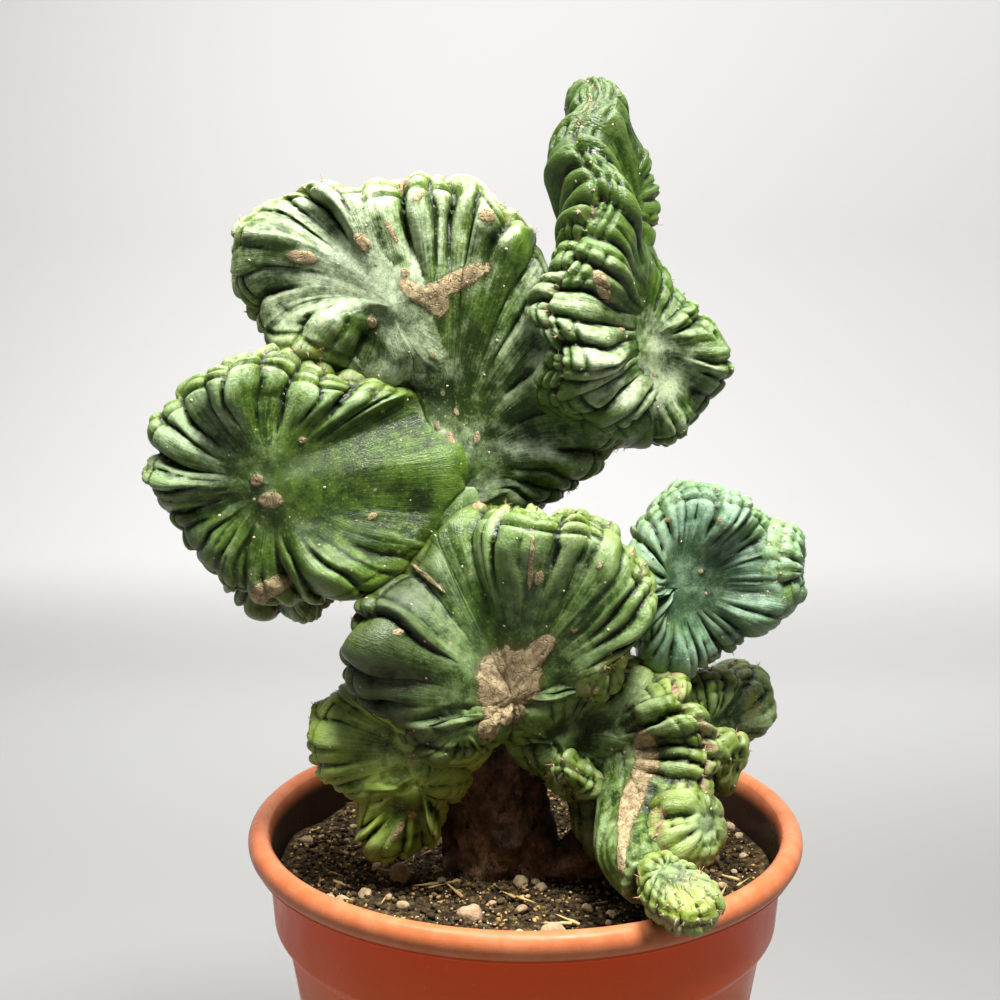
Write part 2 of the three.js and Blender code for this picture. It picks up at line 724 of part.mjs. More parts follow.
function potGeometry() {
  const beadBottom = potHeight - beadHeight;
  const bead = new THREE.Vector2(rimRadius - beadWidth / 2, potHeight - beadHeight / 2);
  const profile = [
    [0, 0], [baseRadius - footRound, 0], [baseRadius, footRound], [collarRadius - ledge, bodyTop - 1],
    [collarRadius, bodyTop + 1.5], [collarRadius + 1.6, beadBottom], [rimRadius - 1.6, beadBottom],
  ].map(([r, z]) => new THREE.Vector2(r, z));
  for (let i = -2; i <= 5; i += 1) {
    const angle = i * (Math.PI / 6);
    profile.push(new THREE.Vector2(
      bead.x + (beadWidth / 2) * Math.cos(angle),
      bead.y + (beadHeight / 2) * Math.sin(angle),
    ));
  }
  profile.push(new THREE.Vector2(innerRadius(potHeight - 2), potHeight - lipDrop));
  profile.push(new THREE.Vector2(innerRadius(bodyTop), bodyTop));
  profile.push(new THREE.Vector2(innerRadius(bodyTop - 2), bodyTop - 2));
  profile.push(new THREE.Vector2(innerRadius(floorThickness), floorThickness));
  profile.push(new THREE.Vector2(0, floorThickness));
  const geometry = new THREE.LatheGeometry(profile, potSides);
  geometry.rotateX(Math.PI / 2);
  return geometry;
}

function makePot() {
  let pot = outwardSolid(potGeometry());
  for (let i = 0; i < drainHoles; i += 1) {
    const angle = (2 * Math.PI * (i + 0.5)) / drainHoles;
    const hole = new THREE.CylinderGeometry(drainHoleRadius, drainHoleRadius, drainCut, drainHoleSides);
    hole.rotateX(Math.PI / 2);
    hole.translate(drainCircleRadius * Math.cos(angle), drainCircleRadius * Math.sin(angle), floorThickness);
    pot = pot.subtract(solidOf(hole));
  }
  return pot;
}

// The lie of the soil: low waves with crumbs on them.
function soilHeight(x, y, crumb) {
  const [long, short] = soilWaves;
  const waves = long * Math.sin(0.07 * x + 0.5) * Math.cos(0.06 * y) + short * Math.sin(0.15 * y + 0.1 * x);
  const edge = soilDrop * smooth(...soilDropRing, Math.hypot(x, y));
  return soilTop + waves - edge + crumb;
}

function soilGeometry() {
  const positions = [];
  const wallHeights = [bodyTop + 0.6, bodyTop - 1.2, floorThickness + clearance];
  const topRadius = innerRadius(soilTop - 4) - soilSlack;
  for (let r = 1; r <= soilRings; r += 1) {
    const radius = topRadius * (r / soilRings) ** 0.8;
    for (let i = 0; i < soilSides; i += 1) {
      const angle = (2 * Math.PI * (i + (r % 2) / 2)) / soilSides;
      const x = radius * Math.cos(angle);
      const y = radius * Math.sin(angle);
      const crumb = crumbHeight * (hashed(i + r * soilSides, 0.3) - 0.5);
      positions.push(x, y, soilHeight(x, y, crumb));
    }
  }
  for (const z of wallHeights) {
    for (let i = 0; i < soilSides; i += 1) {
      const angle = (2 * Math.PI * (i + (soilRings % 2) / 2)) / soilSides;
      const radius = innerRadius(z) - soilSlack;
      positions.push(radius * Math.cos(angle), radius * Math.sin(angle), z);
    }
  }
  const rings = soilRings + wallHeights.length;
  const index = [];
  for (let r = 0; r + 1 < rings; r += 1) {
    for (let i = 0; i < soilSides; i += 1) {
      const a = r * soilSides + i;
      const b = r * soilSides + ((i + 1) % soilSides);
      index.push(a, a + soilSides, b + soilSides, a, b + soilSides, b);
    }
  }
  const top = positions.length / 3;
  positions.push(0, 0, soilHeight(0, 0, 0), 0, 0, wallHeights[wallHeights.length - 1]);
  for (let i = 0; i < soilSides; i += 1) {
    const next = (i + 1) % soilSides;
    const last = (rings - 1) * soilSides;
    index.push(top, i, next, top + 1, last + next, last + i);
  }
  const geometry = new THREE.BufferGeometry();
  geometry.setAttribute('position', new THREE.Float32BufferAttribute(positions, 3));
  geometry.setIndex(index);
  return geometry;
}

function pebbleGeometry(i, grow) {
  const size = pebbleSize * (0.8 + 0.5 * hashed(i, pebbleSeed + 0.3));
  const pebble = new THREE.IcosahedronGeometry(size + grow, 1);
  const spin = new THREE.Euler(hashed(i, 1.1) * 6, hashed(i, 2.2) * 6, hashed(i, 3.3) * 6);
  pebble.scale(...pebbleFlatness);
  pebble.applyQuaternion(new THREE.Quaternion().setFromEuler(spin));
  const angle = (2 * Math.PI * (i + 0.7 * hashed(i, pebbleSeed))) / pebbleCount + 0.4;
  const [near, far] = pebbleRing;
  const distance = near + (far - near) * hashed(i, pebbleSeed + 0.6);
  const x = distance * Math.cos(angle);
  const y = distance * Math.sin(angle);
  pebble.translate(x, y, soilHeight(x, y, 0) + pebbleSeat * size);
  return pebble;
}

// Each limb and crest gives way to those before it, so that they meet with a small gap.
function makePlant(holder) {
  const names = ['trunk', ...Object.keys(crests)];
  const grown = { holder };
  const made = {};
  for (const name of names) {
    let solid = name === 'trunk' ? trunkSolid(0) : crestSolid(name, 0);
    for (const earlier of Object.keys(made)) {
      solid = solid.subtract(grown[earlier]);
    }
    made[name] = mainBody(solid);
    grown[name] = name === 'trunk' ? trunkSolid(seat) : crestSolid(name, seat);
  }
  for (const name of Object.keys(crests)) {
    const others = Object.keys(grown).filter((other) => other !== name);
    const clear = Object.values(crests[name]).flatMap(spinesOf)
      .filter((needle) => others.every((other) => needle.intersect(grown[other]).isEmpty()));
    made[name] = mainBody(union([made[name], ...clear]));
  }
  return made;
}

const pot = makePot();
let soil = outwardSolid(soilGeometry()).subtract(trunkSolid(clearance));
for (let i = 0; i < pebbleCount; i += 1) {
  soil = soil.subtract(solidOf(pebbleGeometry(i, clearance)));
  addNode(`pebble_${i + 1}`, solidOf(pebbleGeometry(i, 0)), colours.pebble);
}
const plant = makePlant(pot.add(soil));
addNode('pot', pot, colours.pot);
addNode('soil', soil, colours.soil);
addNode('trunk', plant.trunk, colours.trunk);
for (const name of Object.keys(crests)) {
  addNode(`crest_${name}`, plant[name], colours[name]);
}

export default group;
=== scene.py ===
"""A potted crested myrtillocactus: a nursery pot, its soil, a woody trunk and the folded crests on it."""
import math

import bmesh
import bpy
import numpy as np
from mathutils import Matrix, Vector, noise
from mathutils.bvhtree import BVHTree
from mathutils.kdtree import KDTree


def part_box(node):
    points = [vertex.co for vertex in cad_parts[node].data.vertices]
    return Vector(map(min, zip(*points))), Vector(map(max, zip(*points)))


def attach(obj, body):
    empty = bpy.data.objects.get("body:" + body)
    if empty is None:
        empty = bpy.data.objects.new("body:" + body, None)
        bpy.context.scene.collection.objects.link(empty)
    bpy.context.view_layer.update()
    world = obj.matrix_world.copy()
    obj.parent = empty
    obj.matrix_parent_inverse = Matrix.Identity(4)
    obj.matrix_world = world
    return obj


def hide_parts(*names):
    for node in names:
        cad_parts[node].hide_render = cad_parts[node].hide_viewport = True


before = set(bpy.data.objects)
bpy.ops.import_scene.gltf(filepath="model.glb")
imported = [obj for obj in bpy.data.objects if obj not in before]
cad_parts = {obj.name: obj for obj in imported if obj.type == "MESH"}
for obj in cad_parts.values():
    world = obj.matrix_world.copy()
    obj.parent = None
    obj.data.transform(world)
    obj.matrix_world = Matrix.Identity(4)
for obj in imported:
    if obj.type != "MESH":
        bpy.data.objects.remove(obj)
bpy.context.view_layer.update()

# All sizes below are in millimetres and angles in degrees, unless a name says metres.
MM = 0.001
scene = bpy.context.scene

# Camera
CAMERA_PLACE = (-7.7, -470.1, 327.6)
CAMERA_PITCH = 10.66
IMAGE_SIZE = 1000
FOCAL_PIXELS = 1600
SENSOR = 36.0

# Soft lights: place, what they aim at, width and depth, watts and colour; and the light all round
LIGHTS = {
    "key": ((130, -210, 880), (0, 0, 220), (230, 220), 15.5, (1.0, 0.985, 0.955)),
    "top": ((-200, 0, 900), (0, 0, 220), (300, 300), 7.0, (1.0, 1.0, 1.0)),
    "wall": ((380, 250, 900), (260, 900, 300), (1100, 300), 6.0, (1.0, 1.0, 1.0)),
}
AROUND_COLOUR = (1.0, 0.985, 0.95, 1)
AROUND_STRENGTH = 0.12

# Pot and soil
POT_HEIGHT = 140.0
RIM_RADIUS = 85.0
BEAD_HEIGHT = 8.0
BEAD_WIDTH = 7.0
COLLAR_RADIUS = 77.5
COLLAR_HEIGHT = 24.0
LEDGE = 3.5
BASE_RADIUS = 57.0
WALL = 2.2
POT_FLOOR = 3.0
DRAIN_HOLES = 6
DRAIN_RADIUS = 4.0
DRAIN_CIRCLE = 38.0
DRAIN_SIDES = 40
SOIL_TOP = 127.0
SOIL_GAP = 0.6
SOIL_SIDES, SOIL_RINGS = 400, 62
PEBBLES = 9
PEBBLE_OVERSIZE = 1.02
BODY_TOP = POT_HEIGHT - BEAD_HEIGHT - COLLAR_HEIGHT
POT_SIDES = 256
OUTER_ROUNDING, INNER_ROUNDING, CORNER_POINTS = 1.6, 1.2, 4
BEAD_ARC = (-52, 151, 7)
# The mould's flash under the bead: how far in from the rim, and how far above the bead's bottom
FLASH = [(2.2, -0.55), (1.75, -0.25), (1.7, 0.15), (1.9, 0.5)]

# How finely a crest and a limb are drawn, and more roughly for what only finds its neighbours
COLUMN = 0.8
ROW = 1.0
EDGE_SAMPLES = 2001
QUARTER_COLUMNS_TO, HALF_COLUMNS_TO = 0.22, 0.48
ROUGH_STEP = 2.4
LIMB_SIDES = 96
ROUGH_LIMB = 24

# Where two grow into each other: how far off it starts, and how high the skin swells
FILLET = 9.0
FILLET_RISE = 2.6

# Depth of the creases as a share of the width of what they part
FOLD_DEPTH = 0.25
RIB_DEPTH = 0.42
RIBLET_DEPTH = 0.34
BEAD_DEPTH = 0.36

# How unlike one another folds and ribs are: in width, in lean and, as a share of a rib, in height
FOLD_VARIES = 0.42
SKEW = 0.75
UNEVEN_RIBS = 0.34
UNEVEN_FOLDS = 0.30

# The edge sways to and fro in waves of two lengths, a fan is thinner halfway, and a groove runs
# along its very edge
SWAY = 2.6
SWAY_LENGTHS = (46.0, 27.0)
WAIST = 0.14
EDGE_GROOVE = 0.30
EDGE_GROOVE_WIDE = 2.6

# Beads near the edge: how long the first two are and by how much they vary, how many ribs have
# them, and how far in they reach
FIRST_BEAD, SECOND_BEAD = (3.2, 1.8), (3.4, 2.6)
BEADED_SHARE = 0.7
BEADED_TO = 14

# Rounds of smoothing that tell a crease and a wide hollow from what lies round it, for the painted shade of
# the crests' skins
CREVICE_ROUNDS, HOLLOW_ROUNDS = 10, 70

# Fans of each crest. A fan's spokes run from the hub to the growing edge: angle, reach, lift,
# angle at which the rib leaves the hub, strength of the ribs there, share of the full girth and
# share of the rib's width. thick gives half the thickness at the hub and at the edge, rib the
# width of one rib at the edge, calm how far the hub stays smooth, knobs how deep the beads are,
# pale how waxed the hub is and split how near the edge a rib parts in two.
SPOKE_DEFAULTS = (0, None, 1.0, 1.0, 1.0)
CRESTS = {
    "upper": {
        "main": dict(hub=(-21, -3, 244), thick=(12, 12), rib=8.5, seed=0.11, calm=0.5, split=0.97, spokes=[
            (-90, 16), (-45, 18), (-12, 28, 0, 20), (2, 39, 2, 40), (14, 48, 3, 52), (27, 52, 4, 62),
            (45, 55, 3, 72), (60, 63, 2, 80), (69, 74, 3, 86), (77, 84, 4, 90), (84, 90, 2, 93),
            (93, 91, 4, 96, 1, 1, 1.3), (104, 90, 4, 100, 0.9, 1, 1.5), (113, 68, -4, 106, 0.6),
            (122, 59, -3, 114, 0.7, 1, 1.2), (133, 55, -3, 124, 0.8, 1, 1.2),
            (145, 50, -5, 138, 0.8, 0.9, 1.2), (158, 34, -8, 152, 0.5, 0.8), (176, 20, -5), (-140, 18)]),
        "curl": dict(hub=(-36, -11, 297), yaw=-8, tilt=6, thick=(12, 12), rib=8.2, seed=0.37, calm=0.5,
                     pale=0.6, split=0.94, spokes=[
            (-60, 16, -20), (-10, 13, -22), (50, 19, -22), (84, 29, -13, 96), (110, 38, -1, 116, 1, 1, 1.2),
            (132, 46, 3, 124, 1, 1, 1.2), (149, 51, 5, 132), (162, 51, 6, 140), (174, 49, 6, 148),
            (186, 45, 8, 155), (197, 40, 9, 163), (208, 33, 10, 172), (222, 25, 6, 188, 1, 0.9),
            (243, 23, -4), (268, 17, -10)]),
    },
    "left": {
        "disc": dict(hub=(-69, -25, 250), yaw=-6, tilt=-4, thick=(10, 12), rib=7.4, seed=0.53, calm=0.36,
                     split=0.92, spokes=[
            (-163, 38), (-144, 35, 0, -152), (-124, 36, 0, -135), (-104, 38, 0, -118),
            (-84, 38, 1, -100, 0.9), (-62, 39, 0, -80, 0.6), (-41, 42, -6, -60, 0.4, 0.9),
            (-20, 45, -16, -30, 0.15, 0.7), (-3, 46, -21, -3, 0.1, 0.6), (15, 44, -22, 22, 0.15, 0.6),
            (33, 38, -19, 44, 0.3, 0.6), (52, 34, -11, 66, 0.7, 0.75), (74, 35, -2, 92), (97, 38, 0, 112),
            (114, 39, 0, 127), (133, 40, 0, 144), (154, 41, 0, 160), (178, 40)]),
        "under": dict(hub=(-74, -6, 232), yaw=-20, tilt=-20, thick=(7, 9), rib=6, seed=0.91, calm=0.3,
                      spokes=[
            (-150, 24), (-128, 29), (-105, 34), (-82, 34), (-60, 28), (-30, 18), (20, 16), (90, 14),
            (160, 18)]),
    },
    "middle": {
        "main": dict(hub=(-5, -30, 192), yaw=4, tilt=-8, thick=(10, 11.5), rib=7.4, seed=0.71, calm=0.4,
                     split=0.97, spokes=[
            (-90, 15), (-40, 15), (-5, 20, 0, -5), (14, 30, 0, 8), (24, 42, 0, 16, 1, 1, 1.2),
            (33, 49, 0, 26, 1, 1, 1.1), (46, 52, 0, 42, 1, 1, 0.9), (61, 55, 0, 60, 1, 1, 0.85),
            (75, 55, 0, 75, 1, 1, 0.9), (87, 52, -6, 90, 1, 1, 0.9), (99, 46, -19, 100, 0.3, 0.9),
            (116, 40, -24, 114, 0.2, 0.9, 1.4), (133, 40, -18, 130, 0.5, 0.9, 1.5),
            (148, 46, -8, 146, 1, 1, 1.5), (161, 51, 0, 158, 1, 1, 1.5), (172, 50, 0, 172, 1, 0.9, 1.3),
            (183, 45, -2, 186, 1, 0.85), (197, 34, -4, 200, 1, 0.9), (217, 24, 0, 218), (245, 18)]),
        "thumb": dict(hub=(-17, -34, 182), yaw=-4, thick=(6, 6.5), rib=7, seed=0.27, calm=0.4, spokes=[
            (160, 17), (185, 20), (210, 19), (240, 13), (290, 9, -2), (0, 10, -4), (60, 9, -3),
            (120, 12, -2)]),
        "bead": dict(hub=(21, -34, 198), yaw=20, tilt=20, thick=(4, 4.5), rib=3, seed=0.44, knobs=1.3,
                     calm=0.1, spokes=[
            (-90, 9), (-30, 7), (30, 7), (90, 6), (150, 7), (210, 8)]),
        "nub": dict(hub=(14, -33, 164), yaw=-30, tilt=-50, thick=(4, 4.5), rib=4.2, seed=0.64, calm=0.3,
                    spokes=[
            (-90, 7), (-30, 7), (30, 7), (90, 12), (150, 7), (210, 7)]),
        "elbow": dict(hub=(7, -25, 177), yaw=16, tilt=-10, thick=(10, 9.5), rib=6.5, seed=0.19, calm=0.6,
                      spokes=[
            (-95, 16), (-70, 25, 4), (-45, 21), (-15, 25), (11, 29), (34, 31, 4), (60, 22), (90, 20),
            (135, 18), (180, 14), (225, 12)]),
    },
    "tall": {
        "ridge": dict(hub=(27, 2, 288), yaw=78, thick=(9, 12.5), rib=5.2, seed=0.43, calm=0.3, knobs=1.3,
                      spokes=[
            (-90, 26, 0, -90, 1, 1, 1.5), (-30, 16, 2), (35, 17), (64, 38, -9, 64, 1, 0.6),
            (80, 60, -12, 80, 1, 0.5), (94, 75, -11, 94, 1, 0.64, 0.8), (107, 68, -7, 107, 1, 0.8, 0.85),
            (120, 57, -5, 120, 1, 0.95), (136, 46, -7), (155, 42, -11, 155, 1, 1, 1.2),
            (175, 41, -14, 175, 1, 1, 1.4), (195, 39, -14, 195, 1, 1, 1.5), (212, 37, -8, 212, 1, 1, 1.5),
            (230, 33, -2, 230, 1, 1, 1.5)]),
        "tuft": dict(hub=(21, -10, 325), yaw=24, tilt=4, thick=(5, 4.5), rib=3.4, seed=0.23, calm=0.1,
                     spokes=[
            (-110, 9, -3), (-65, 14, -1), (-35, 16), (-5, 18), (25, 19), (52, 21), (76, 18, -1),
            (110, 11, -2), (180, 8, -3)]),
        "wing": dict(hub=(29, -4, 286), yaw=14, tilt=-4, thick=(12, 10.5), rib=5.6, seed=0.97, calm=0.6,
                     knobs=1.2, pale=0.9, spokes=[
            (-76, 33), (-52, 33), (-28, 34), (-5, 32), (18, 26), (40, 23, 0, 40, 0.8), (66, 26, 0, 66, 0.5),
            (86, 30, -3, 86, 0.2, 0.8), (112, 20, -3, 112, 0.2), (180, 12), (235, 16), (262, 28, 2)]),
    },
    "blue": {
        "disc": dict(hub=(42, -16, 218), yaw=12, thick=(8, 10), rib=5, seed=0.61, calm=0.4, spokes=[
            (-150, 12), (-122, 20), (-105, 26), (-85, 28), (-62, 29), (-45, 31), (-30, 34), (-15, 36, -1),
            (0, 36, -3), (15, 36, -2), (31, 35), (53, 33), (77, 31), (101, 26), (122, 21), (145, 17),
            (180, 18.5)]),
        "bud": dict(hub=(76, -9, 220), yaw=72, thick=(5, 6), rib=3.6, seed=0.35, knobs=1.4, spokes=[
            (-90, 12), (-50, 12), (-10, 10, 2), (30, 11), (65, 14), (100, 14), (140, 12), (180, 11),
            (220, 11)]),
    },
    "low_left": {
        "upper": dict(hub=(-26, -26, 172), yaw=-12, thick=(9, 10), rib=5.5, seed=0.29, calm=0.5, spokes=[
            (127, 18), (141, 26), (153, 34), (169, 39, 2), (190, 39, 3), (206, 36, 2), (222, 25), (260, 14),
            (0, 14), (70, 14)]),
        "lower": dict(hub=(-31, -26, 163), yaw=-5, tilt=-4, thick=(8, 9), rib=6, seed=0.83, calm=0.45,
                      spokes=[
            (205, 20), (225, 28), (240, 31, 2), (258, 28, 2), (278, 24), (300, 16), (0, 14), (90, 12),
            (160, 14)]),
    },
    "low_right": {
        "ridge": dict(hub=(24, -13, 166), yaw=-52, thick=(9, 11), rib=6.4, seed=0.31, calm=0.25, knobs=0.6,
                      spokes=[
            (-85, 30), (-62, 36, 2), (-42, 43, 3), (-22, 46, 3), (-2, 42, 2), (18, 42, -3), (37, 40, -5),
            (55, 33, -4), (90, 22), (150, 16), (220, 16), (250, 22)]),
        "foot": dict(hub=(36, -73, 149), yaw=20, tilt=76, thick=(6, 6.5), rib=4, seed=0.77, knobs=0.9,
                     calm=0.45, spokes=[
            (-125, 14, -1), (-95, 19), (-62, 19), (-32, 16), (0, 13), (40, 10), (90, 9), (150, 8), (180, 9),
            (-150, 11, -1)]),
        "nub": dict(hub=(45, -48, 154), yaw=62, tilt=35, thick=(6.5, 6.5), rib=5.4, seed=0.52, knobs=0.8,
                    calm=0.6, spokes=[
            (-90, 11), (-45, 12), (0, 13), (45, 12), (90, 11), (150, 12, -2), (210, 12, -2)]),
        "side": dict(hub=(48, -8, 170), yaw=36, tilt=-10, thick=(9, 8.5), rib=3.6, seed=0.15, knobs=1.4,
                     calm=0.45, spokes=[
            (-80, 24), (-58, 28, -3, -58, 1, 0.9), (-38, 31, 1, -38, 1, 0.7, 1.3),
            (-18, 27, 0, -18, 1, 0.9), (5, 31, 2), (26, 33, 2), (46, 27), (70, 21), (100, 19), (140, 20),
            (200, 24), (250, 24)]),
        "tongue": dict(hub=(60, -18, 166), yaw=34, tilt=-12, thick=(4, 4), rib=6, seed=0.36, knobs=0.5,
                       calm=0.7, spokes=[
            (-90, 14), (-55, 9), (0, 8), (60, 8, -2), (130, 8, -2), (190, 7), (235, 9)]),
    },
}

# Limbs of the trunk: x, y, z and radius of each station.
TRUNK_LIMBS = [
    [(-6, -4, 98, 13), (-5, -4, 118, 19), (-7, -6, 132, 18), (-9, -10, 150, 16),
     (-9, -16, 168, 14), (-8, -22, 180, 10)],
    [(-8, -6, 150, 14), (-10, -4, 180, 13), (-16, -1, 210, 12), (-21, 0, 236, 11)],
    [(2, -6, 112, 9), (14, -12, 128, 9), (24, -14, 140, 8.5), (27, -14, 150, 8)],
]

# A green stem that a crest stands on, in the same way as the trunk's limbs.
CREST_STEMS = {
    "middle": [(-10, -24, 196, 11), (-15, -20, 210, 12), (-19, -13, 226, 12.5), (-21, -7, 242, 12)],
    "low_right": [(26, -14, 184, 9), (31, -22, 172, 9.5), (30, -35, 158, 9.5), (28, -50, 150, 9),
                  (32, -67, 147, 7)],
}

# Waves round a limb: depth as a share of the radius, how many, and how they turn along it.
TRUNK_WAVES = [(0.07, 3, 1.8), (0.05, 5, -1.2)]
STEM_WAVES = [(0.05, 4, 0.8), (0.018, 13, 0.5)]

# Corky scars, by the picture point of their middle: x, y, half length, half width, turn.
SCARS = {
    "upper": [
        (418, 294, 6.0, 2.4, -30), (460, 280, 9.0, 2.8, 24), (436, 300, 4.6, 3.6, -70),
        (405, 185, 2.4, 1.7, 60), (418, 195, 2.6, 1.2, 60), (362, 242, 3.0, 2.0, -50),
        (302, 257, 4.4, 1.9, -5), (487, 215, 2.3, 2.0, 0), (405, 272, 1.3, 1.2, 0),
        (372, 322, 1.6, 1.5, 0), (449, 450, 5.6, 1.8, 88), (438, 426, 1.3, 0.9, 80),
        (456, 412, 1.2, 1.1, 0), (477, 437, 1.9, 1.0, 80), (433, 355, 1.2, 0.8, 80),
        (391, 231, 3.8, 0.8, -60),
    ],
    "left": [
        (270, 500, 3.6, 2.3, 0), (257, 480, 1.8, 1.8, 0), (270, 588, 7.0, 2.8, 25),
        (255, 600, 5.0, 2.0, 10), (302, 440, 1.2, 0.9, 0), (372, 516, 1.6, 1.0, 40),
    ],
    "middle": [
        (509, 680, 9.2, 9.6, 0), (538, 652, 6.5, 3.0, 45), (504, 708, 6.0, 5.0, 0), (488, 730, 4.4, 3.0, 80),
        (427, 577, 7.0, 0.7, -38), (531, 562, 9.0, 0.75, 86), (539, 578, 2.0, 1.4, 80),
        (480, 505, 2.2, 1.2, 10), (398, 632, 1.8, 0.9, 0), (588, 690, 1.4, 0.9, 80),
        (596, 690, 1.4, 0.9, 80), (575, 630, 1.0, 0.8, 0), (600, 565, 1.4, 0.7, 60),
    ],
    "tall": [(602, 285, 4.8, 2.0, -68), (655, 375, 1.0, 0.8, 0), (622, 330, 1.0, 0.8, 0)],
    "blue": [(700, 571, 1.1, 0.9, 0), (668, 520, 1.0, 0.7, 0), (720, 520, 0.9, 0.7, 0)],
    "low_left": [(398, 831, 3.6, 1.1, 60), (413, 815, 1.6, 1.2, 0), (408, 757, 1.8, 0.8, 70)],
    "low_right": [
        (646, 752, 7.0, 3.4, 100), (640, 780, 9.0, 2.6, 75), (626, 815, 9.0, 2.0, 76),
        (622, 850, 6.0, 1.2, 84),
    ],
}
SCAR_RISE = 0.45
FAR_SIDE_SCARS = 5

# Young spiny tips, in the same way as the scars.
TIPS = {
    "upper": [(317, 351, 2.6, 2.4, 0), (300, 352, 2.6, 2.2, 0)],
    "middle": [(616, 664, 5.5, 4.2, 0)],
    "low_right": [(752, 705, 6.0, 3.2, 80), (690, 905, 9.0, 6.0, 0)],
}

# Areoles on the growing edge, on the ribs and on the young tips: smallest gap between two, the most
# on one crest, size and whether they carry spines.
AREOLES = [(5.0, 220, 1.0, True), (10.5, 160, 0.8, False), (2.3, 60, 1.0, True)]
AREOLE_SEED = 5
WOOL_SIZE = 0.6
SPINE_LENGTH = 2.6
SPINE_SIDES = 5
SPINE_RINGS = [(-0.35, 0.07), (0.0, 0.085), (0.15, 0.055), (0.6, 0.035)]

# What lies loose on the soil: how many, size, fineness, proportions, smallest share and seed.
SOIL_LITTER = {
    "soil_crumbs": (2400, 1.28, 2, (1.0, 0.85, 0.75), 0.35, 11),
    "soil_grains": (1500, 0.98, 1, (1.0, 0.8, 0.7), 0.35, 12),
    "soil_stones": (110, 2.4, 3, (1.0, 0.8, 0.65), 0.4, 13),
    "soil_specks": (260, 0.5, 1, (1.0, 0.9, 0.8), 0.4, 14),
}
STRAWS = 90

# Colours, and the stops of the mottled finishes: place on the pattern and the colour there.
SUNNY_GREEN = (0.095, 0.18, 0.022)
TIP_GREEN = (0.28, 0.34, 0.035)
RUBBED_TAN = (0.34, 0.22, 0.13)
SCUFF_TAN = (0.42, 0.36, 0.22)
PIT_BROWN = (0.02, 0.016, 0.006)
SCAR_RIM = (0.09, 0.065, 0.025)
CORK_CRACK = (0.07, 0.042, 0.02)
FIBRE_BROWN = (0.12, 0.075, 0.05)
FLAKE_RED = (0.17, 0.075, 0.045)
BARK_GAP = (0.006, 0.004, 0.003)
BEAD_DARK = (0.47, 0.130, 0.048)
BEAD_PALE = (0.52, 0.175, 0.078)
# painted shade inside the pot
POT_INSIDE_SHADE = (0.028, 0.014, 0.010)
POT_SCUFF = (0.70, 0.42, 0.30)
POT_DUST = (0.62, 0.38, 0.28)
PEBBLE_GLINT = (0.62, 0.55, 0.42)
# The paper's colours are painted shade: the floor darker than the wall, darkest near the front and darker to
# the right
SHADED_PAPER_NEAR = (0.27, 0.27, 0.267), (0.205, 0.205, 0.202)
SHADED_PAPER_FLOOR = (0.40, 0.40, 0.397)
SHADED_PAPER_WALL = (0.59, 0.59, 0.587), (0.50, 0.50, 0.497)
STOPS = {
    "cork": [(0.3, (0.16, 0.105, 0.05)), (0.5, (0.34, 0.26, 0.135)), (0.7, (0.56, 0.46, 0.26))],
    "bark": [(0.36, (0.018, 0.011, 0.006)), (0.47, (0.085, 0.052, 0.027)), (0.56, (0.20, 0.115, 0.065)),
             (0.66, (0.42, 0.30, 0.18))],
    "green_bark": [(0.3, (0.020, 0.035, 0.010)), (0.7, (0.08, 0.12, 0.03))],
    "pot_wall": [(0.0, (0.58, 0.125, 0.032)), (0.6, (0.68, 0.115, 0.018)), (1.0, (0.72, 0.072, 0.006))],
    "peat": [(0.30, (0.004, 0.003, 0.002)), (0.46, (0.020, 0.013, 0.006)), (0.58, (0.085, 0.056, 0.018)),
             (0.70, (0.27, 0.19, 0.07))],
    "wool": [(0.3, (0.28, 0.21, 0.12)), (0.55, (0.50, 0.42, 0.28)), (0.75, (0.72, 0.66, 0.52))],
    "spine": [(0.3, (0.20, 0.10, 0.05)), (0.6, (0.50, 0.34, 0.18)), (0.8, (0.70, 0.58, 0.38))],
    "soil_crumbs": [(0.3, (0.008, 0.006, 0.003)), (0.52, (0.045, 0.028, 0.012)), (0.7, (0.20, 0.13, 0.05))],
    "soil_grains": [(0.3, (0.22, 0.12, 0.04)), (0.55, (0.42, 0.27, 0.10)), (0.8, (0.60, 0.46, 0.26))],
    "soil_stones": [(0.3, (0.22, 0.14, 0.07)), (0.55, (0.42, 0.31, 0.18)), (0.8, (0.62, 0.52, 0.35))],
    "soil_specks": [(0.3, (0.6, 0.55, 0.45)), (0.8, (0.8, 0.78, 0.7))],
    "straw": [(0.3, (0.30, 0.18, 0.06)), (0.7, (0.62, 0.46, 0.20))],
}
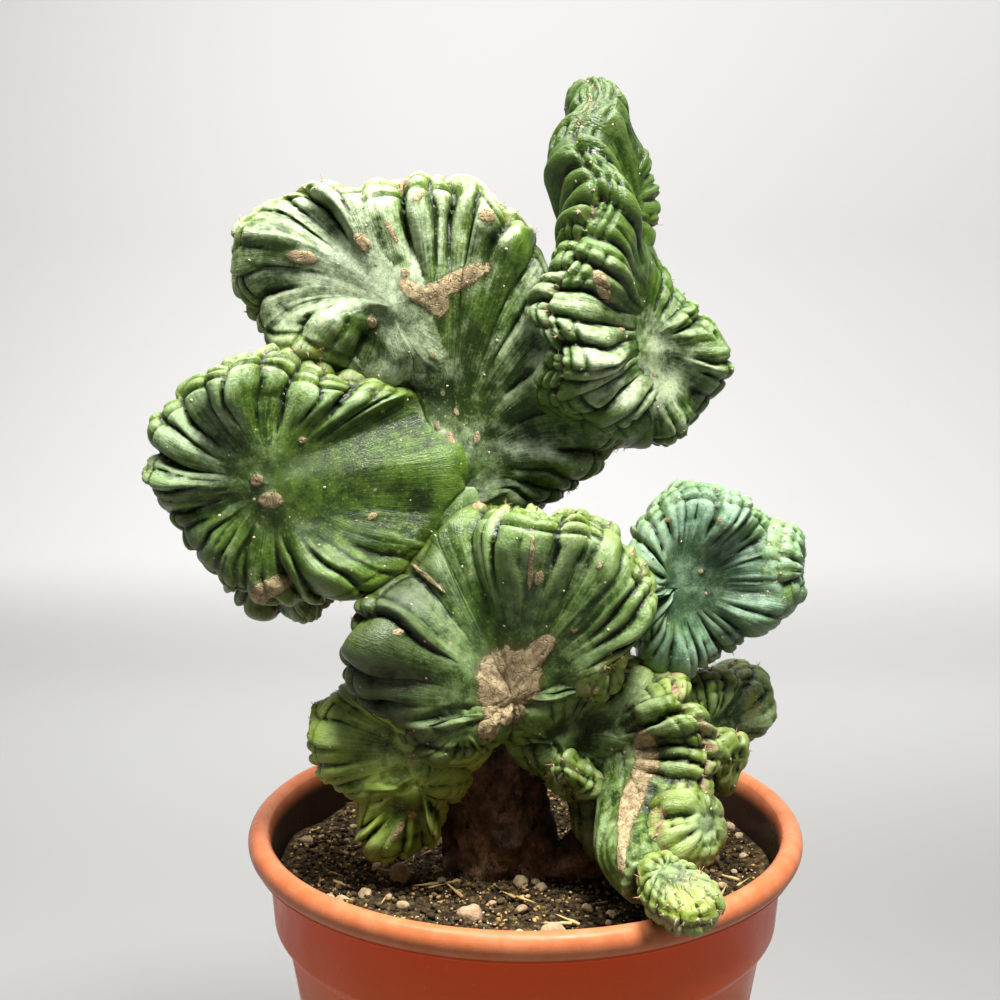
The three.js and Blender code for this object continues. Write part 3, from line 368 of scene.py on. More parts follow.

# The crests' skins: colours, with crease the painted shade deep in the creases, how much is waxed and young,
# how worn the edge is, the heights in metres between which the wax fades, and the axis and the places on it,
# in metres, between which painted shade darkens the skin towards crease, with the share that is left of it.
GREEN = dict(crease=(0.003, 0.006, 0.001), body=(0.022, 0.048, 0.006), top=(0.086, 0.150, 0.017),
             wax=(0.36, 0.44, 0.245), young=(0.27, 0.35, 0.05), wax_share=0.85, young_share=0.4)
LOOKS = {
    "upper": dict(GREEN, crease=(0.010, 0.019, 0.004), body=(0.022, 0.045, 0.008), top=(0.070, 0.118, 0.018),
                  wax=(0.45, 0.54, 0.34), wax_share=0.9, painted_shade=("Z", 0.262, 0.238, 0.72)),
    "left": dict(GREEN, wax_share=0.62, wax=(0.31, 0.40, 0.25)),
    "middle": dict(GREEN, body=(0.021, 0.050, 0.007), top=(0.082, 0.155, 0.022), wax=(0.30, 0.38, 0.20),
                   wax_share=0.55, painted_shade=("X", -0.012, -0.040, 0.38)),
    "tall": dict(GREEN, body=(0.025, 0.058, 0.006), wax=(0.42, 0.50, 0.31), young=(0.075, 0.15, 0.015),
                 young_share=0.9, wax_share=0.95, waxed_to=(0.290, 0.325), painted_shade=("Z", 0.310, 0.345, 0.6)),
    "blue": dict(GREEN, body=(0.046, 0.105, 0.050), top=(0.12, 0.22, 0.12), wax=(0.28, 0.41, 0.30),
                 young=(0.24, 0.36, 0.08), young_share=0.5),
    # low_left is painted much paler than the other crests: painted light that lifts a crest lying in shade
    "low_left": dict(GREEN, body=(0.11, 0.19, 0.018), top=(0.30, 0.43, 0.05), wax=(0.36, 0.45, 0.17),
                     wax_share=0.5, young=(0.38, 0.44, 0.07), young_share=0.8),
    "low_right": dict(GREEN, body=(0.015, 0.034, 0.004), top=(0.080, 0.145, 0.016), wax=(0.37, 0.46, 0.24),
                      wax_share=0.6, young=(0.32, 0.38, 0.06), young_share=0.6, worn=0.9),
}


def smooth(low, high, x):
    t = np.clip((x - low) / (high - low), 0, 1)
    return t * t * (3 - 2 * t)


def hashed(k, seed):
    """A repeatable value from 0 to 1 for whole numbers k."""
    x = np.sin(np.asarray(k, float) * 12.9898 + seed * 78.233) * 43758.5453
    return x - np.floor(x)


def dome(t, power=2.3):
    """0 at both ends of t in [0, 1] and 1 between, with steep ends."""
    return np.sqrt(np.maximum(1 - np.abs(2 * t - 1) ** power, 0))


def quarter(t):
    """Rises from 0 to 1 like a quarter of a circle."""
    return np.sqrt(np.clip(1 - (1 - np.clip(t, 0, 1)) ** 2, 0, 1))


def closed_curve(points, t):
    """A closed centripetal Catmull-Rom curve through points, at t in [0, 1). The first three
    columns of points are places and set the pace."""
    count = len(points)
    place = np.asarray(t) * count
    i = np.floor(place).astype(int)
    w = (place - i)[:, None]
    p0, p1, p2, p3 = (points[(i + k) % count] for k in (-1, 0, 1, 2))

    def pace(a, b):
        return np.maximum(((a[:, :3] - b[:, :3]) ** 2).sum(1), 1e-8)[:, None] ** 0.25

    d0, d1, d2 = pace(p0, p1), pace(p1, p2), pace(p2, p3)
    t1 = ((p1 - p0) / d0 - (p2 - p0) / (d0 + d1) + (p2 - p1) / d1) * d1
    t2 = ((p2 - p1) / d1 - (p3 - p1) / (d1 + d2) + (p3 - p2) / d2) * d1
    bend = -3 * p1 + 3 * p2 - 2 * t1 - t2
    twist = 2 * p1 - 2 * p2 + t1 + t2
    return p1 + t1 * w + bend * w ** 2 + twist * w ** 3


def unit(v):
    return v / np.maximum(np.linalg.norm(v, axis=-1, keepdims=True), 1e-6)


class Fan:
    """A fan's growing edge and the frame that it lies in."""

    def __init__(self, hub, thick, rib, seed, spokes, yaw=0, tilt=0, calm=0.15, knobs=1.0, pale=0.0,
                 split=0.84):
        yaw, tilt = math.radians(yaw), math.radians(tilt)
        self.hub = np.array(hub, float)
        self.out = np.array([math.sin(yaw) * math.cos(tilt), -math.cos(yaw) * math.cos(tilt), math.sin(tilt)])
        self.level = np.array([math.cos(yaw), math.sin(yaw), 0.0])
        self.rise = np.cross(self.out, self.level)
        self.thick, self.rib, self.seed = thick, rib, seed
        self.calm, self.knobs, self.pale, self.split = calm, knobs, pale, split
        rows = []
        for spoke in spokes:
            given = spoke + SPOKE_DEFAULTS[len(spoke) - 2:]
            angle, reach, lift, leaving, strength, girth, pace = given
            a = math.radians(angle)
            b = a if leaving is None else math.radians(leaving)
            rows.append([reach * math.cos(a), reach * math.sin(a), lift, 0.5 * reach * math.cos(b),
                         0.5 * reach * math.sin(b), 0.2 * lift, strength, girth, pace])
        self.rows = np.array(rows)
        self.t = np.linspace(0, 1, EDGE_SAMPLES)
        edge = closed_curve(self.rows, self.t[:-1])
        edge = np.vstack([edge, edge[:1]])
        steps = np.linalg.norm(np.diff(edge[:, :3], axis=0), axis=1)
        self.s = np.concatenate([[0], np.cumsum(steps)])
        self.length = self.s[-1]
        self.front = RibPlan(self.s, rib * edge[:, 8], seed, False)
        self.back = RibPlan(self.s, rib * edge[:, 8], seed, True)

    def turned(self, ways):
        """Ways in the fan's own frame, turned to the object's."""
        return ways[..., :1] * self.level + ways[..., 1:2] * self.rise + ways[..., 2:3] * self.out

    def columns(self, s):
        t = np.interp(s % self.length, self.s, self.t) % 1.0
        both = closed_curve(self.rows, t)
        end, half, strength = both[:, :3], both[:, 3:6], both[:, 6]
        reach = np.linalg.norm(end[:, :2], axis=1)
        radius = np.minimum(self.thick[1] * both[:, 7], 0.72 * reach)
        outward = unit(end - half)
        centre = end - outward * radius[:, None]
        return end, half, centre, outward, radius, strength, reach


class RibPlan:
    """Where the ribs part along the edge, on three scales: folds, ribs and riblets."""

    def __init__(self, s, rib, seed, between):
        self.length, self.seed = s[-1], seed
        folds = [0.0]
        while folds[-1] < self.length:
            vary = 1 + FOLD_VARIES * (2 * float(hashed(len(folds), seed)) - 1)
            folds.append(folds[-1] + 2.0 * np.interp(folds[-1], s, rib) * vary)
        if folds[-1] - self.length > self.length - folds[-2]:
            folds.pop()
        self.folds = np.array(folds) / folds[-1] * self.length
        self.ribs = self.halved(self.folds, 0.21)
        if between:
            middle = (self.ribs[:-1] + self.ribs[1:]) / 2
            self.ribs = np.append(middle, middle[0] + self.length)
            self.folds = self.ribs[::2]
        self.riblets = self.halved(self.ribs, 0.47)

    def halved(self, breaks, salt):
        share = 0.36 + 0.28 * hashed(np.arange(len(breaks) - 1), self.seed + salt)
        return np.sort(np.concatenate([breaks, breaks[:-1] + np.diff(breaks) * share]))

    def crease(self, breaks, s, rho, first, last, span, salt):
        """Depth of the creases against the tops, 0 on top and -1 where full, each opening at its own rho;
        the width round the crease; which rib it is; and the height of its own profile."""
        place = breaks[0] + (s - breaks[0]) % self.length
        i = np.clip(np.searchsorted(breaks, place, side="right") - 1, 0, len(breaks) - 2)
        count = len(breaks) - 1
        widths = np.diff(breaks)
        t = (place - breaks[i]) / widths[i]
        t = t ** (2 ** (SKEW * (2 * hashed(i, self.seed + salt + 0.05) - 0.6)))
        side = np.where(t < 0.5, i, (i + 1) % count)
        start = first + (last - first) * hashed(side, self.seed + salt)
        width = 0.5 * (widths[side] + widths[side - 1])
        top = dome(t)
        return (top - 1) * smooth(0, 1, (rho - start) / span), width, i, top


def relief(fan, plan, s, rho, q):
    """Height of the surface against the full tops of the ribs; q is the distance from the edge line."""
    rib, seed, calm = fan.rib, fan.seed, fan.calm
    salt = 0.0 if plan is fan.front else 0.5
    fold, fold_wide, j, fold_top = plan.crease(plan.folds, s, rho, calm, calm + 0.3, 0.4, 0.1 + salt)
    ribs, rib_wide, i, top = plan.crease(plan.ribs, s, rho, max(calm, 0.3), calm + 0.45, 0.26, 0.3 + salt)
    near = rho + max(0.0, 6.0 - q) / 20.0
    riblets, riblet_wide, _, _ = plan.crease(plan.riblets, s, near, fan.split, 1.45, 0.14, 0.5 + salt)
    wide = 0.1 + 0.9 * rho ** 1.9
    wide = wide * (0.78 + 0.3 * np.sin(2 * np.pi * s / fan.length * 3 + 11 * seed + 3 * rho))
    height = wide * (FOLD_DEPTH * fold_wide * fold + RIB_DEPTH * rib_wide * ribs)
    height = height + RIBLET_DEPTH * riblet_wide * riblets
    # some ribs and folds stand higher than others
    opened = smooth(calm, calm + 0.5, rho)
    height += UNEVEN_RIBS * rib * opened * (hashed(i, seed + 0.9 + salt) - 0.62) * top
    height += UNEVEN_FOLDS * rib * opened * (hashed(j, seed + 0.4 + salt) - 0.55) * fold_top
    # the last millimetres before the edge are parted into beads
    first = FIRST_BEAD[0] + FIRST_BEAD[1] * hashed(i, seed + 1.3 + salt)
    second = first + SECOND_BEAD[0] + SECOND_BEAD[1] * hashed(i, seed + 1.7 + salt)
    beaded = hashed(i, seed + 2.1 + salt) < BEADED_SHARE
    along = np.where(q < second, (q - first) / (second - first), 0.5)
    along = np.where(q < first, (q + 1.0) / (first + 1.0), along)
    bead = np.where(q < second, dome(np.clip(along, 0, 1), 2.4), quarter((q - second) / 2.0))
    if q < BEADED_TO:
        height -= BEAD_DEPTH * fan.knobs * rib * beaded * (1 - bead) * (0.3 + 0.7 * top)
    return height


def hub_to_edge(count):
    """Shares of the way from the hub to the edge."""
    return (np.arange(1, count + 1) / count) ** 0.9


def grid_faces(ids, used):
    """Faces between rows of points, some with twice the columns of the next, and to the two poles."""
    quads, tris = [], []
    for a, b in zip(ids[:-1], ids[1:]):
        a_next, b_next = np.roll(a, -1), np.roll(b, -1)
        if len(a) == len(b):
            quads.append(np.stack([a, b, b_next, a_next], 1))
        elif len(b) == 2 * len(a):
            quads.append(np.stack([a, b[::2], b[1::2], a_next], 1))
            tris.append(np.stack([a_next, b[1::2], np.roll(b[::2], -1)], 1))
        else:
            quads.append(np.stack([a[::2], b, b_next, a[1::2]], 1))
            tris.append(np.stack([a[1::2], b_next, np.roll(a[::2], -1)], 1))
    first, last = ids[0], ids[-1]
    tris.append(np.stack([np.full(len(first), used), first, np.roll(first, -1)], 1))
    tris.append(np.stack([np.full(len(last), used + 1), np.roll(last, -1), last], 1))
    return np.concatenate(quads), np.concatenate(tris)


def fan_surface(fan, column=COLUMN, row=ROW):
    """Rows of points from the hub over the edge to the back, with fewer columns near the hub."""
    count = 4 * int(fan.length / column / 4)
    s = np.arange(count) * fan.length / count
    end, half, centre, outward, radius, strength, reach = fan.columns(s)
    along = unit(fan.columns(s + 1.5)[2] - fan.columns(s - 1.5)[2])
    normal = np.cross(outward, along)
    normal[normal[:, 2] < 0] *= -1
    normal = unit(normal)
    half = half * (np.linalg.norm(centre[:, :2], axis=1) / np.linalg.norm(end[:, :2], axis=1))[:, None]
    turns = 2 * np.pi * s / fan.length
    long_wave, short_wave = (turns * round(fan.length / length) for length in SWAY_LENGTHS)
    sway = SWAY * (np.sin(long_wave + 7 * fan.seed) + 0.6 * np.sin(short_wave + 19 * fan.seed))
    sway *= smooth(15, 30, reach)
    hub_half, edge_half = fan.thick
    flat = np.linalg.norm(centre, axis=1).mean()
    arc_rows = np.linspace(0, np.pi, 2 * int(np.pi * edge_half / row / 1.6) + 1)
    rows = [(rho, None, 1) for rho in hub_to_edge(max(8, int(flat / row)))[:-1]]
    rows += [(1.0, angle, 0) for angle in arc_rows]
    rows += [(rho, None, -1) for rho in hub_to_edge(max(6, int(flat / row / 1.5)))[-2::-1]]
    ring = np.stack([np.cos(turns), np.sin(turns)], 1) * (fan.length / (2 * np.pi))
    full = np.clip(strength, 0, 1)

    lists = {key: [] for key in ("place", "way", "height", "edge", "rho", "bare", "flow")}
    ids = []
    used = 0
    for rho, angle, side in rows:
        if angle is None:
            base = 2 * rho * (1 - rho) * half + rho ** 2 * centre
            way = unit(np.array([0, 0, 1.0]) * (1 - rho ** 1.5) + normal * rho ** 1.5) * side
            waist = 1 - WAIST * np.sin(np.pi * rho) ** 2
            thickness = (hub_half + (radius - hub_half) * smooth(0, 1, rho)) * waist
            q = edge_half * np.pi / 2 + (1 - rho) * flat
            signed = -side * q
        else:
            base = centre
            way = np.cos(angle) * normal + np.sin(angle) * outward
            thickness = radius
            signed = (angle - np.pi / 2) * edge_half
            q = abs(signed)
        base = base + normal * (sway * rho ** 3)[:, None]
        wander = s + 0.1 * fan.rib * (np.sin(0.35 * s + 0.28 * signed + 5 * fan.seed)
                                      + 0.5 * np.sin(0.13 * s - 0.17 * signed))
        front = relief(fan, fan.front, wander, rho, q)
        back = relief(fan, fan.back, wander, rho, q)
        share = smooth(-1.3, 1.3, signed)
        height = ((1 - share) * front + share * back) * strength
        height -= EDGE_GROOVE * fan.rib * max(0.0, 1 - q / EDGE_GROOVE_WIDE) ** 1.5 * (0.4 + 0.6 * full)
        height -= 0.15 * (1 - full) * rho * fan.rib
        slow = 0.8 * np.sin(base[:, 0] * 0.11 + 5 * fan.seed) * np.sin(base[:, 1] * 0.13 + 2) * rho
        bare = 1 - full - fan.pale * (1 - smooth(fan.calm, fan.calm + 0.4, rho))
        flow = np.column_stack([ring * smooth(-0.1, 0.55, rho), np.full(count, signed)])
        values = dict(place=base + way * (thickness + slow)[:, None], way=way, height=height,
                      edge=np.full(count, q), rho=np.full(count, rho), bare=bare, flow=flow)
        step = 4 if rho < QUARTER_COLUMNS_TO else 2 if rho < HALF_COLUMNS_TO else 1
        for key, value in values.items():
            lists[key].append(value[::step])
        ids.append(used + np.arange(count // step))
        used += count // step
    poles = dict(place=[[0, 0, hub_half], [0, 0, -hub_half]], way=[[0, 0, 1], [0, 0, -1]], height=[0, 0],
                 edge=[99, 99], rho=[0, 0], bare=[0.5, 0.5], flow=[[0, 0, -99], [0, 0, 99]])
    points = {key: np.concatenate(values + [np.array(poles[key], float)]) for key, values in lists.items()}
    points["place"] = fan.hub + fan.turned(points["place"])
    points["way"] = fan.turned(points["way"])
    return points, *grid_faces(ids, used)


def shade_smooth(mesh):
    mesh.polygons.foreach_set("use_smooth", [True] * len(mesh.polygons))


def move_points(mesh, places):
    """Puts the mesh's points at places in millimetres."""
    mesh.vertices.foreach_set("co", (np.asarray(places, float) * MM).astype(np.float32).ravel())


def finished_mesh(name, work):
    """The mesh that was being edited in work, which is then let go."""
    mesh = bpy.data.meshes.new(name)
    work.to_mesh(mesh)
    work.free()
    return mesh


def mesh_from(name, places, quads, tris=()):
    """A mesh, in metres, from places in millimetres."""
    mesh = bpy.data.meshes.new(name)
    quads, tris = np.asarray(quads, int).reshape(-1, 4), np.asarray(tris, int).reshape(-1, 3)
    mesh.vertices.add(len(places))
    move_points(mesh, places)
    corners = np.concatenate([quads.ravel(), tris.ravel()])
    mesh.loops.add(len(corners))
    mesh.loops.foreach_set("vertex_index", corners.astype(np.int32))
    starts = np.concatenate([np.arange(len(quads)) * 4, len(quads) * 4 + np.arange(len(tris)) * 3])
    mesh.polygons.add(len(starts))
    mesh.polygons.foreach_set("loop_start", starts.astype(np.int32))
    mesh.update(calc_edges=True)
    mesh.validate()
    shade_smooth(mesh)
    return mesh


def place_object(name, mesh, finish=None):
    piece = bpy.data.objects.new(name, mesh)
    scene.collection.objects.link(piece)
    if finish:
        mesh.materials.append(finish)
    return piece


def set_attribute(mesh, name, values):
    """Keeps a value or a vector for each of the mesh's points."""
    values = np.asarray(values, np.float32)
    kind = "FLOAT" if values.ndim == 1 else "FLOAT_VECTOR"
    attribute = mesh.attributes.get(name) or mesh.attributes.new(name, kind, "POINT")
    attribute.data.foreach_set("value" if kind == "FLOAT" else "vector", values.ravel())


def places_of(mesh):
    """The mesh's points in millimetres."""
    co = np.zeros(len(mesh.vertices) * 3, np.float32)
    mesh.vertices.foreach_get("co", co)
    return co.reshape(-1, 3).astype(float) / MM


def normals_of(mesh):
    values = np.zeros(len(mesh.vertices) * 3, np.float32)
    mesh.vertex_normals.foreach_get("vector", values)
    return values.reshape(-1, 3).astype(float)


def edges_of(mesh):
    edges = np.zeros(len(mesh.edges) * 2, np.int32)
    mesh.edges.foreach_get("vertices", edges)
    return edges.reshape(-1, 2)


def union_of(pieces):
    """One closed mesh from overlapping ones, by Boolean modifiers on the first."""
    main, *others = pieces
    for other in others:
        add_boolean(main, other, "UNION")
    joined = flattened(main)
    for other in others:
        bpy.data.objects.remove(other)
    return joined


def add_boolean(piece, other, operation):
    modifier = piece.modifiers.new("join", "BOOLEAN")
    modifier.operation = operation
    modifier.solver = "MANIFOLD"
    modifier.object = other


def flattened(piece):
    """The piece with its modifiers turned into a plain mesh."""
    shape = piece.evaluated_get(bpy.context.evaluated_depsgraph_get())
    mesh = bpy.data.meshes.new_from_object(shape)
    old = piece.data
    piece.modifiers.clear()
    piece.data = mesh
    bpy.data.meshes.remove(old)
    return piece


def tree_of(places, faces):
    """A tree of the surface, which finds its point nearest to a place or on a ray."""
    return BVHTree.FromPolygons([Vector(place) for place in places.tolist()], faces)


def rough_tree(places, quads, tris):
    """A tree of a rough surface, with the box round it."""
    return tree_of(places, quads.tolist() + tris.tolist()), places.min(0), places.max(0)


def nearness(places, trees, reach):
    """Signed distance of each place to the nearest of the trees, at most reach."""
    result = np.full(len(places), reach)
    for tree, low, high in trees:
        near = np.all((places > low - reach) & (places < high + reach), axis=1)
        for i in np.nonzero(near)[0]:
            spot, normal, _, distance = tree.find_nearest(places[i], reach)
            if spot is None:
                continue
            inside = (Vector(places[i]) - spot).dot(normal) < 0
            result[i] = min(result[i], -distance if inside else distance)
    return result


def ring_faces(rings, sides, flip=False):
    """Faces of a closed solid of rings; the points that close its two ends come after them."""
    ids = np.arange(rings * sides).reshape(rings, sides)
    after = np.roll(ids, -1, axis=1)
    quads = np.stack([ids[:-1], after[:-1], after[1:], ids[1:]], -1).reshape(-1, 4)
    tris = np.vstack([np.stack([np.full(sides, ids.size), after[0], ids[0]], 1),
                      np.stack([np.full(sides, ids.size + 1), ids[-1], after[-1]], 1)])
    return (quads[:, [0, 3, 2, 1]], tris[:, [0, 2, 1]]) if flip else (quads, tris)


def limb_surface(stations, sides, rings, waves):
    """A limb through its stations, closed at both ends, with waves round it."""
    stations = np.array(stations, float)
    t = np.linspace(0, len(stations) - 1, rings)
    i = np.minimum(t.astype(int), len(stations) - 2)
    w = (t - i)[:, None]
    ends = np.vstack([2 * stations[0] - stations[1], stations, 2 * stations[-1] - stations[-2]])
    p0, p1, p2, p3 = (ends[i + k] for k in range(4))
    line = 0.5 * (2 * p1 + (p2 - p0) * w + (2 * p0 - 5 * p1 + 4 * p2 - p3) * w ** 2
                  + (3 * p1 - p0 - 3 * p2 + p3) * w ** 3)
    along = unit(np.gradient(line[:, :3], axis=0))
    side = unit(np.cross([0.0, 1.0, 0.0], along))
    front = np.cross(along, side)
    angle = 2 * np.pi * np.arange(sides) / sides
    rim = line[:, 3][:, None] * (1 + sum(depth * np.sin(count * angle[None] + twist * t[:, None])
                                         for depth, count, twist in waves))
    places = line[:, None, :3] + rim[..., None] * (np.cos(angle)[None, :, None] * side[:, None]
                                                     + np.sin(angle)[None, :, None] * front[:, None])
    places = np.vstack([places.reshape(-1, 3), line[:1, :3], line[-1:, :3]])
    return places, *ring_faces(rings, sides)


class Graph:
    """Adds nodes to a node tree and wires them up."""

    def __init__(self, tree):
        self.tree = tree

    def add(self, kind, inputs=None, **settings):
        node = self.tree.nodes.new(kind)
        for key, value in settings.items():
            setattr(node, key, value)
        for key, value in (inputs or {}).items():
            self.feed(node.inputs[key], value)
        return node

    def feed(self, socket, value):
        if isinstance(value, bpy.types.NodeSocket):
            self.tree.links.new(value, socket)
        elif isinstance(value, tuple) and len(value) == 3 and socket.type == "RGBA":
            socket.default_value = (*value, 1.0)
        else:
            socket.default_value = value

    def math(self, operation, *values):
        """The values taken together two by two, from the first on."""
        result = values[0]
        for value in values[1:]:
            result = self.add("ShaderNodeMath", {0: result, 1: value}, operation=operation).outputs[0]
        return result

    def plus(self, *values):
        return self.math("ADD", *values)

    def minus(self, *values):
        return self.math("SUBTRACT", *values)

    def times(self, *values):
        return self.math("MULTIPLY", *values)

    def vector(self, operation, a, b):
        node = self.add("ShaderNodeVectorMath", {0: a, 1: b}, operation=operation)
        return node.outputs["Value" if operation == "DOT_PRODUCT" else "Vector"]

    def stretched(self, place, *shares):
        return self.vector("MULTIPLY", place, shares)

    def axis(self, place, name):
        return self.add("ShaderNodeSeparateXYZ", {0: place}).outputs[name]

    def mix(self, share, a, b):
        return self.add("ShaderNodeMix", {0: share, 6: a, 7: b}, data_type="RGBA").outputs[2]

    def ramp(self, value, low, high, to_low=0.0, to_high=1.0):
        """Rises smoothly from to_low to to_high as value goes from low to high."""
        inputs = {"Value": value, "From Min": low, "From Max": high, "To Min": to_low, "To Max": to_high}
        return self.add("ShaderNodeMapRange", inputs, interpolation_type="SMOOTHSTEP").outputs["Result"]

    def colours(self, value, stops):
        node = self.add("ShaderNodeValToRGB", {"Fac": value})
        ramp = node.color_ramp
        while len(ramp.elements) < len(stops):
            ramp.elements.new(0.5)
        for element, (position, colour) in zip(ramp.elements, stops):
            element.position = position
            element.color = (*colour, 1.0)
        return node.outputs["Color"]

    def noise(self, place, scale, detail, rough, output="Fac"):
        inputs = {"Vector": place, "Scale": scale, "Detail": detail, "Roughness": rough}
        return self.add("ShaderNodeTexNoise", inputs).outputs[output]

    def cells(self, place, scale, feature="F1"):
        inputs = {"Vector": place, "Scale": scale}
        return self.add("ShaderNodeTexVoronoi", inputs, feature=feature).outputs["Distance"]

    def attribute(self, name, output="Fac"):
        return self.add("ShaderNodeAttribute", attribute_name=name).outputs[output]

    def bump(self, height, strength, distance, under=None):
        inputs = {"Height": height, "Strength": strength, "Distance": distance * MM}
        if under is not None:
            inputs["Normal"] = under
        return self.add("ShaderNodeBump", inputs).outputs["Normal"]


def new_finish(name, **sockets):
    material = bpy.data.materials.new(name)
    material.use_nodes = True
    graph = Graph(material.node_tree)
    shader = material.node_tree.nodes["Principled BSDF"]
    for key, value in sockets.items():
        shader.inputs[key.replace("_", " ")].default_value = value
    place = graph.add("ShaderNodeTexCoord").outputs["Object"]
    return material, graph, shader, place


def scar_cork(g, place, cork):
    """How far the cork covers with its ragged rim, the cracks in it and its colour."""
    ragged = g.plus(cork, g.times(g.minus(g.noise(place, 420, 4, 0.7), 0.5), 0.9))
    stray = g.stretched(g.noise(place, 260, 3, 0.5, "Color"), 0.004, 0.004, 0.004)
    cracks = g.cells(g.vector("ADD", place, stray), 400, "DISTANCE_TO_EDGE")
    colour = g.colours(g.noise(place, 500, 5, 0.75), STOPS["cork"])
    return ragged, cracks, g.mix(g.ramp(cracks, 0.04, 0.0, 0.0, 0.55), colour, CORK_CRACK)


def crest_finish(name, crease, body, top, wax, young, wax_share, young_share, worn=0.3,
                 waxed_to=None, painted_shade=None):
    """Waxy green skin: painted shade in the creases, blue-grey with wax on top, young at the growing edge."""
    material, g, shader, place = new_finish(name, Specular_IOR_Level=0.38)
    edge, cork, tips = g.attribute("edge"), g.attribute("cork"), g.attribute("tips")
    flow = g.attribute("flow", "Vector")
    patches, mottle = g.noise(place, 42, 5, 0.62), g.noise(place, 260, 4, 0.65)
    streaks = g.noise(g.stretched(flow, 0.9, 0.9, 0.10), 1.0, 3, 0.6)
    fine_streaks = g.noise(g.stretched(flow, 3.2, 3.2, 0.35), 1.0, 3, 0.65)

    # painted shade: the tone is 0 deep in a crease, about 0.5 on the plain skin and 1 on a sharp ridge, so
    # creases and hollows are painted dark and ridges pale
    sunk = g.times(g.attribute("crevice"), 0.48)
    hollow = g.times(g.math("MINIMUM", g.attribute("hollow"), 2.2), 0.05)
    stray = g.plus(g.times(streaks, 0.45), g.times(mottle, 0.65))
    tone = g.plus(g.minus(0.50, sunk, hollow), g.minus(stray, 0.56))
    skin = g.colours(tone, [(0.18, crease), (0.42, body), (0.66, top), (0.95, top)])
    sunny = g.ramp(g.noise(place, 65, 4, 0.6), 0.42, 0.62, 0.0, 0.55)
    skin = g.mix(g.times(sunny, g.ramp(tone, 0.3, 0.6)), skin, SUNNY_GREEN)
    dots = g.times(g.ramp(g.cells(place, 640), 0.30, 0.12), g.ramp(mottle, 0.35, 0.6, 0.15, 0.6))
    skin = g.mix(dots, skin, g.mix(0.7, skin, young))
    fresh = g.times(g.ramp(edge, 15, 3), g.ramp(patches, 0.38, 0.6, 0.3, 1.0),
                    g.ramp(tone, 0.3, 0.6, 0.10, 1.0), young_share)
    skin = g.mix(fresh, skin, young)
    skin = g.mix(g.times(g.ramp(tips, 0.0, 0.6), g.ramp(tone, 0.25, 0.55, 0.1, 0.85)), skin, TIP_GREEN)

    # wax lies in patches and most on what looks up, and is rubbed off the growing edge; the extra wax on what
    # faces up towards the lamps is partly real bloom and partly a painted highlight
    up = g.vector("DOT_PRODUCT", g.add("ShaderNodeNewGeometry").outputs["Normal"], (-0.2, -0.25, 0.95))
    bloom = g.plus(g.times(tone, 1.5), g.times(patches, 1.8), g.times(g.plus(fine_streaks, mottle), 0.5),
                   g.ramp(up, -0.4, 0.9, -0.15, 0.25))
    bloom = g.minus(bloom, g.times(g.attribute("bare"), 0.62), g.ramp(edge, 15, 3, 0.0, 0.34))
    flecks = g.ramp(g.noise(place, 620, 4, 0.7), 0.40, 0.58, 0.6, 1.0)
    waxed = g.times(g.ramp(bloom, 1.95, 2.85), g.times(flecks, wax_share))
    if waxed_to:
        waxed = g.times(waxed, g.ramp(g.axis(place, "Z"), *waxed_to, 1.0, 0.15))
    skin = g.mix(waxed, skin, wax)

    # wear: the rubbed edge, scuffs and dark pits
    rubbed = g.times(g.ramp(edge, 3.4, 0.8), g.ramp(g.noise(place, 240, 4, 0.7), 0.50, 0.60), worn)
    scuffs = g.times(g.ramp(g.cells(place, 120), 0.11, 0.06), g.ramp(mottle, 0.50, 0.56), 0.8)
    pits = g.times(g.ramp(g.cells(place, 170), 0.10, 0.04), g.ramp(patches, 0.45, 0.55), 0.8)
    for share, colour in ((rubbed, RUBBED_TAN), (scuffs, SCUFF_TAN), (pits, PIT_BROWN)):
        skin = g.mix(share, skin, colour)

    ragged, cracks, cork_colour = scar_cork(g, place, cork)
    corky = g.ramp(ragged, 0.0, 0.12)
    rim = g.times(g.ramp(ragged, -0.25, 0.0), g.ramp(ragged, 0.25, 0.02), 0.55)
    skin = g.mix(rim, skin, SCAR_RIM)
    # painted shade: the skin darkens towards the crease colour along one axis
    if painted_shade:
        axis, light, dark, left_over = painted_shade
        skin = g.mix(g.ramp(g.axis(place, axis), light, dark, 0.0, 1.0 - left_over), skin, crease)
    g.feed(shader.inputs["Base Color"], g.mix(corky, skin, cork_colour))
    dull = g.plus(g.times(corky, 0.35), g.ramp(waxed, 0.0, 1.0, 0.29, 0.46))
    g.feed(shader.inputs["Roughness"], dull)
    grain = g.plus(g.noise(place, 1400, 2, 0.5), g.times(fine_streaks, 1.5))
    cracked = g.times(g.ramp(cracks, 0.0, 0.08), corky)
    g.feed(shader.inputs["Normal"], g.bump(cracked, 0.5, 0.5, g.bump(grain, 0.42, 0.6)))
    return material


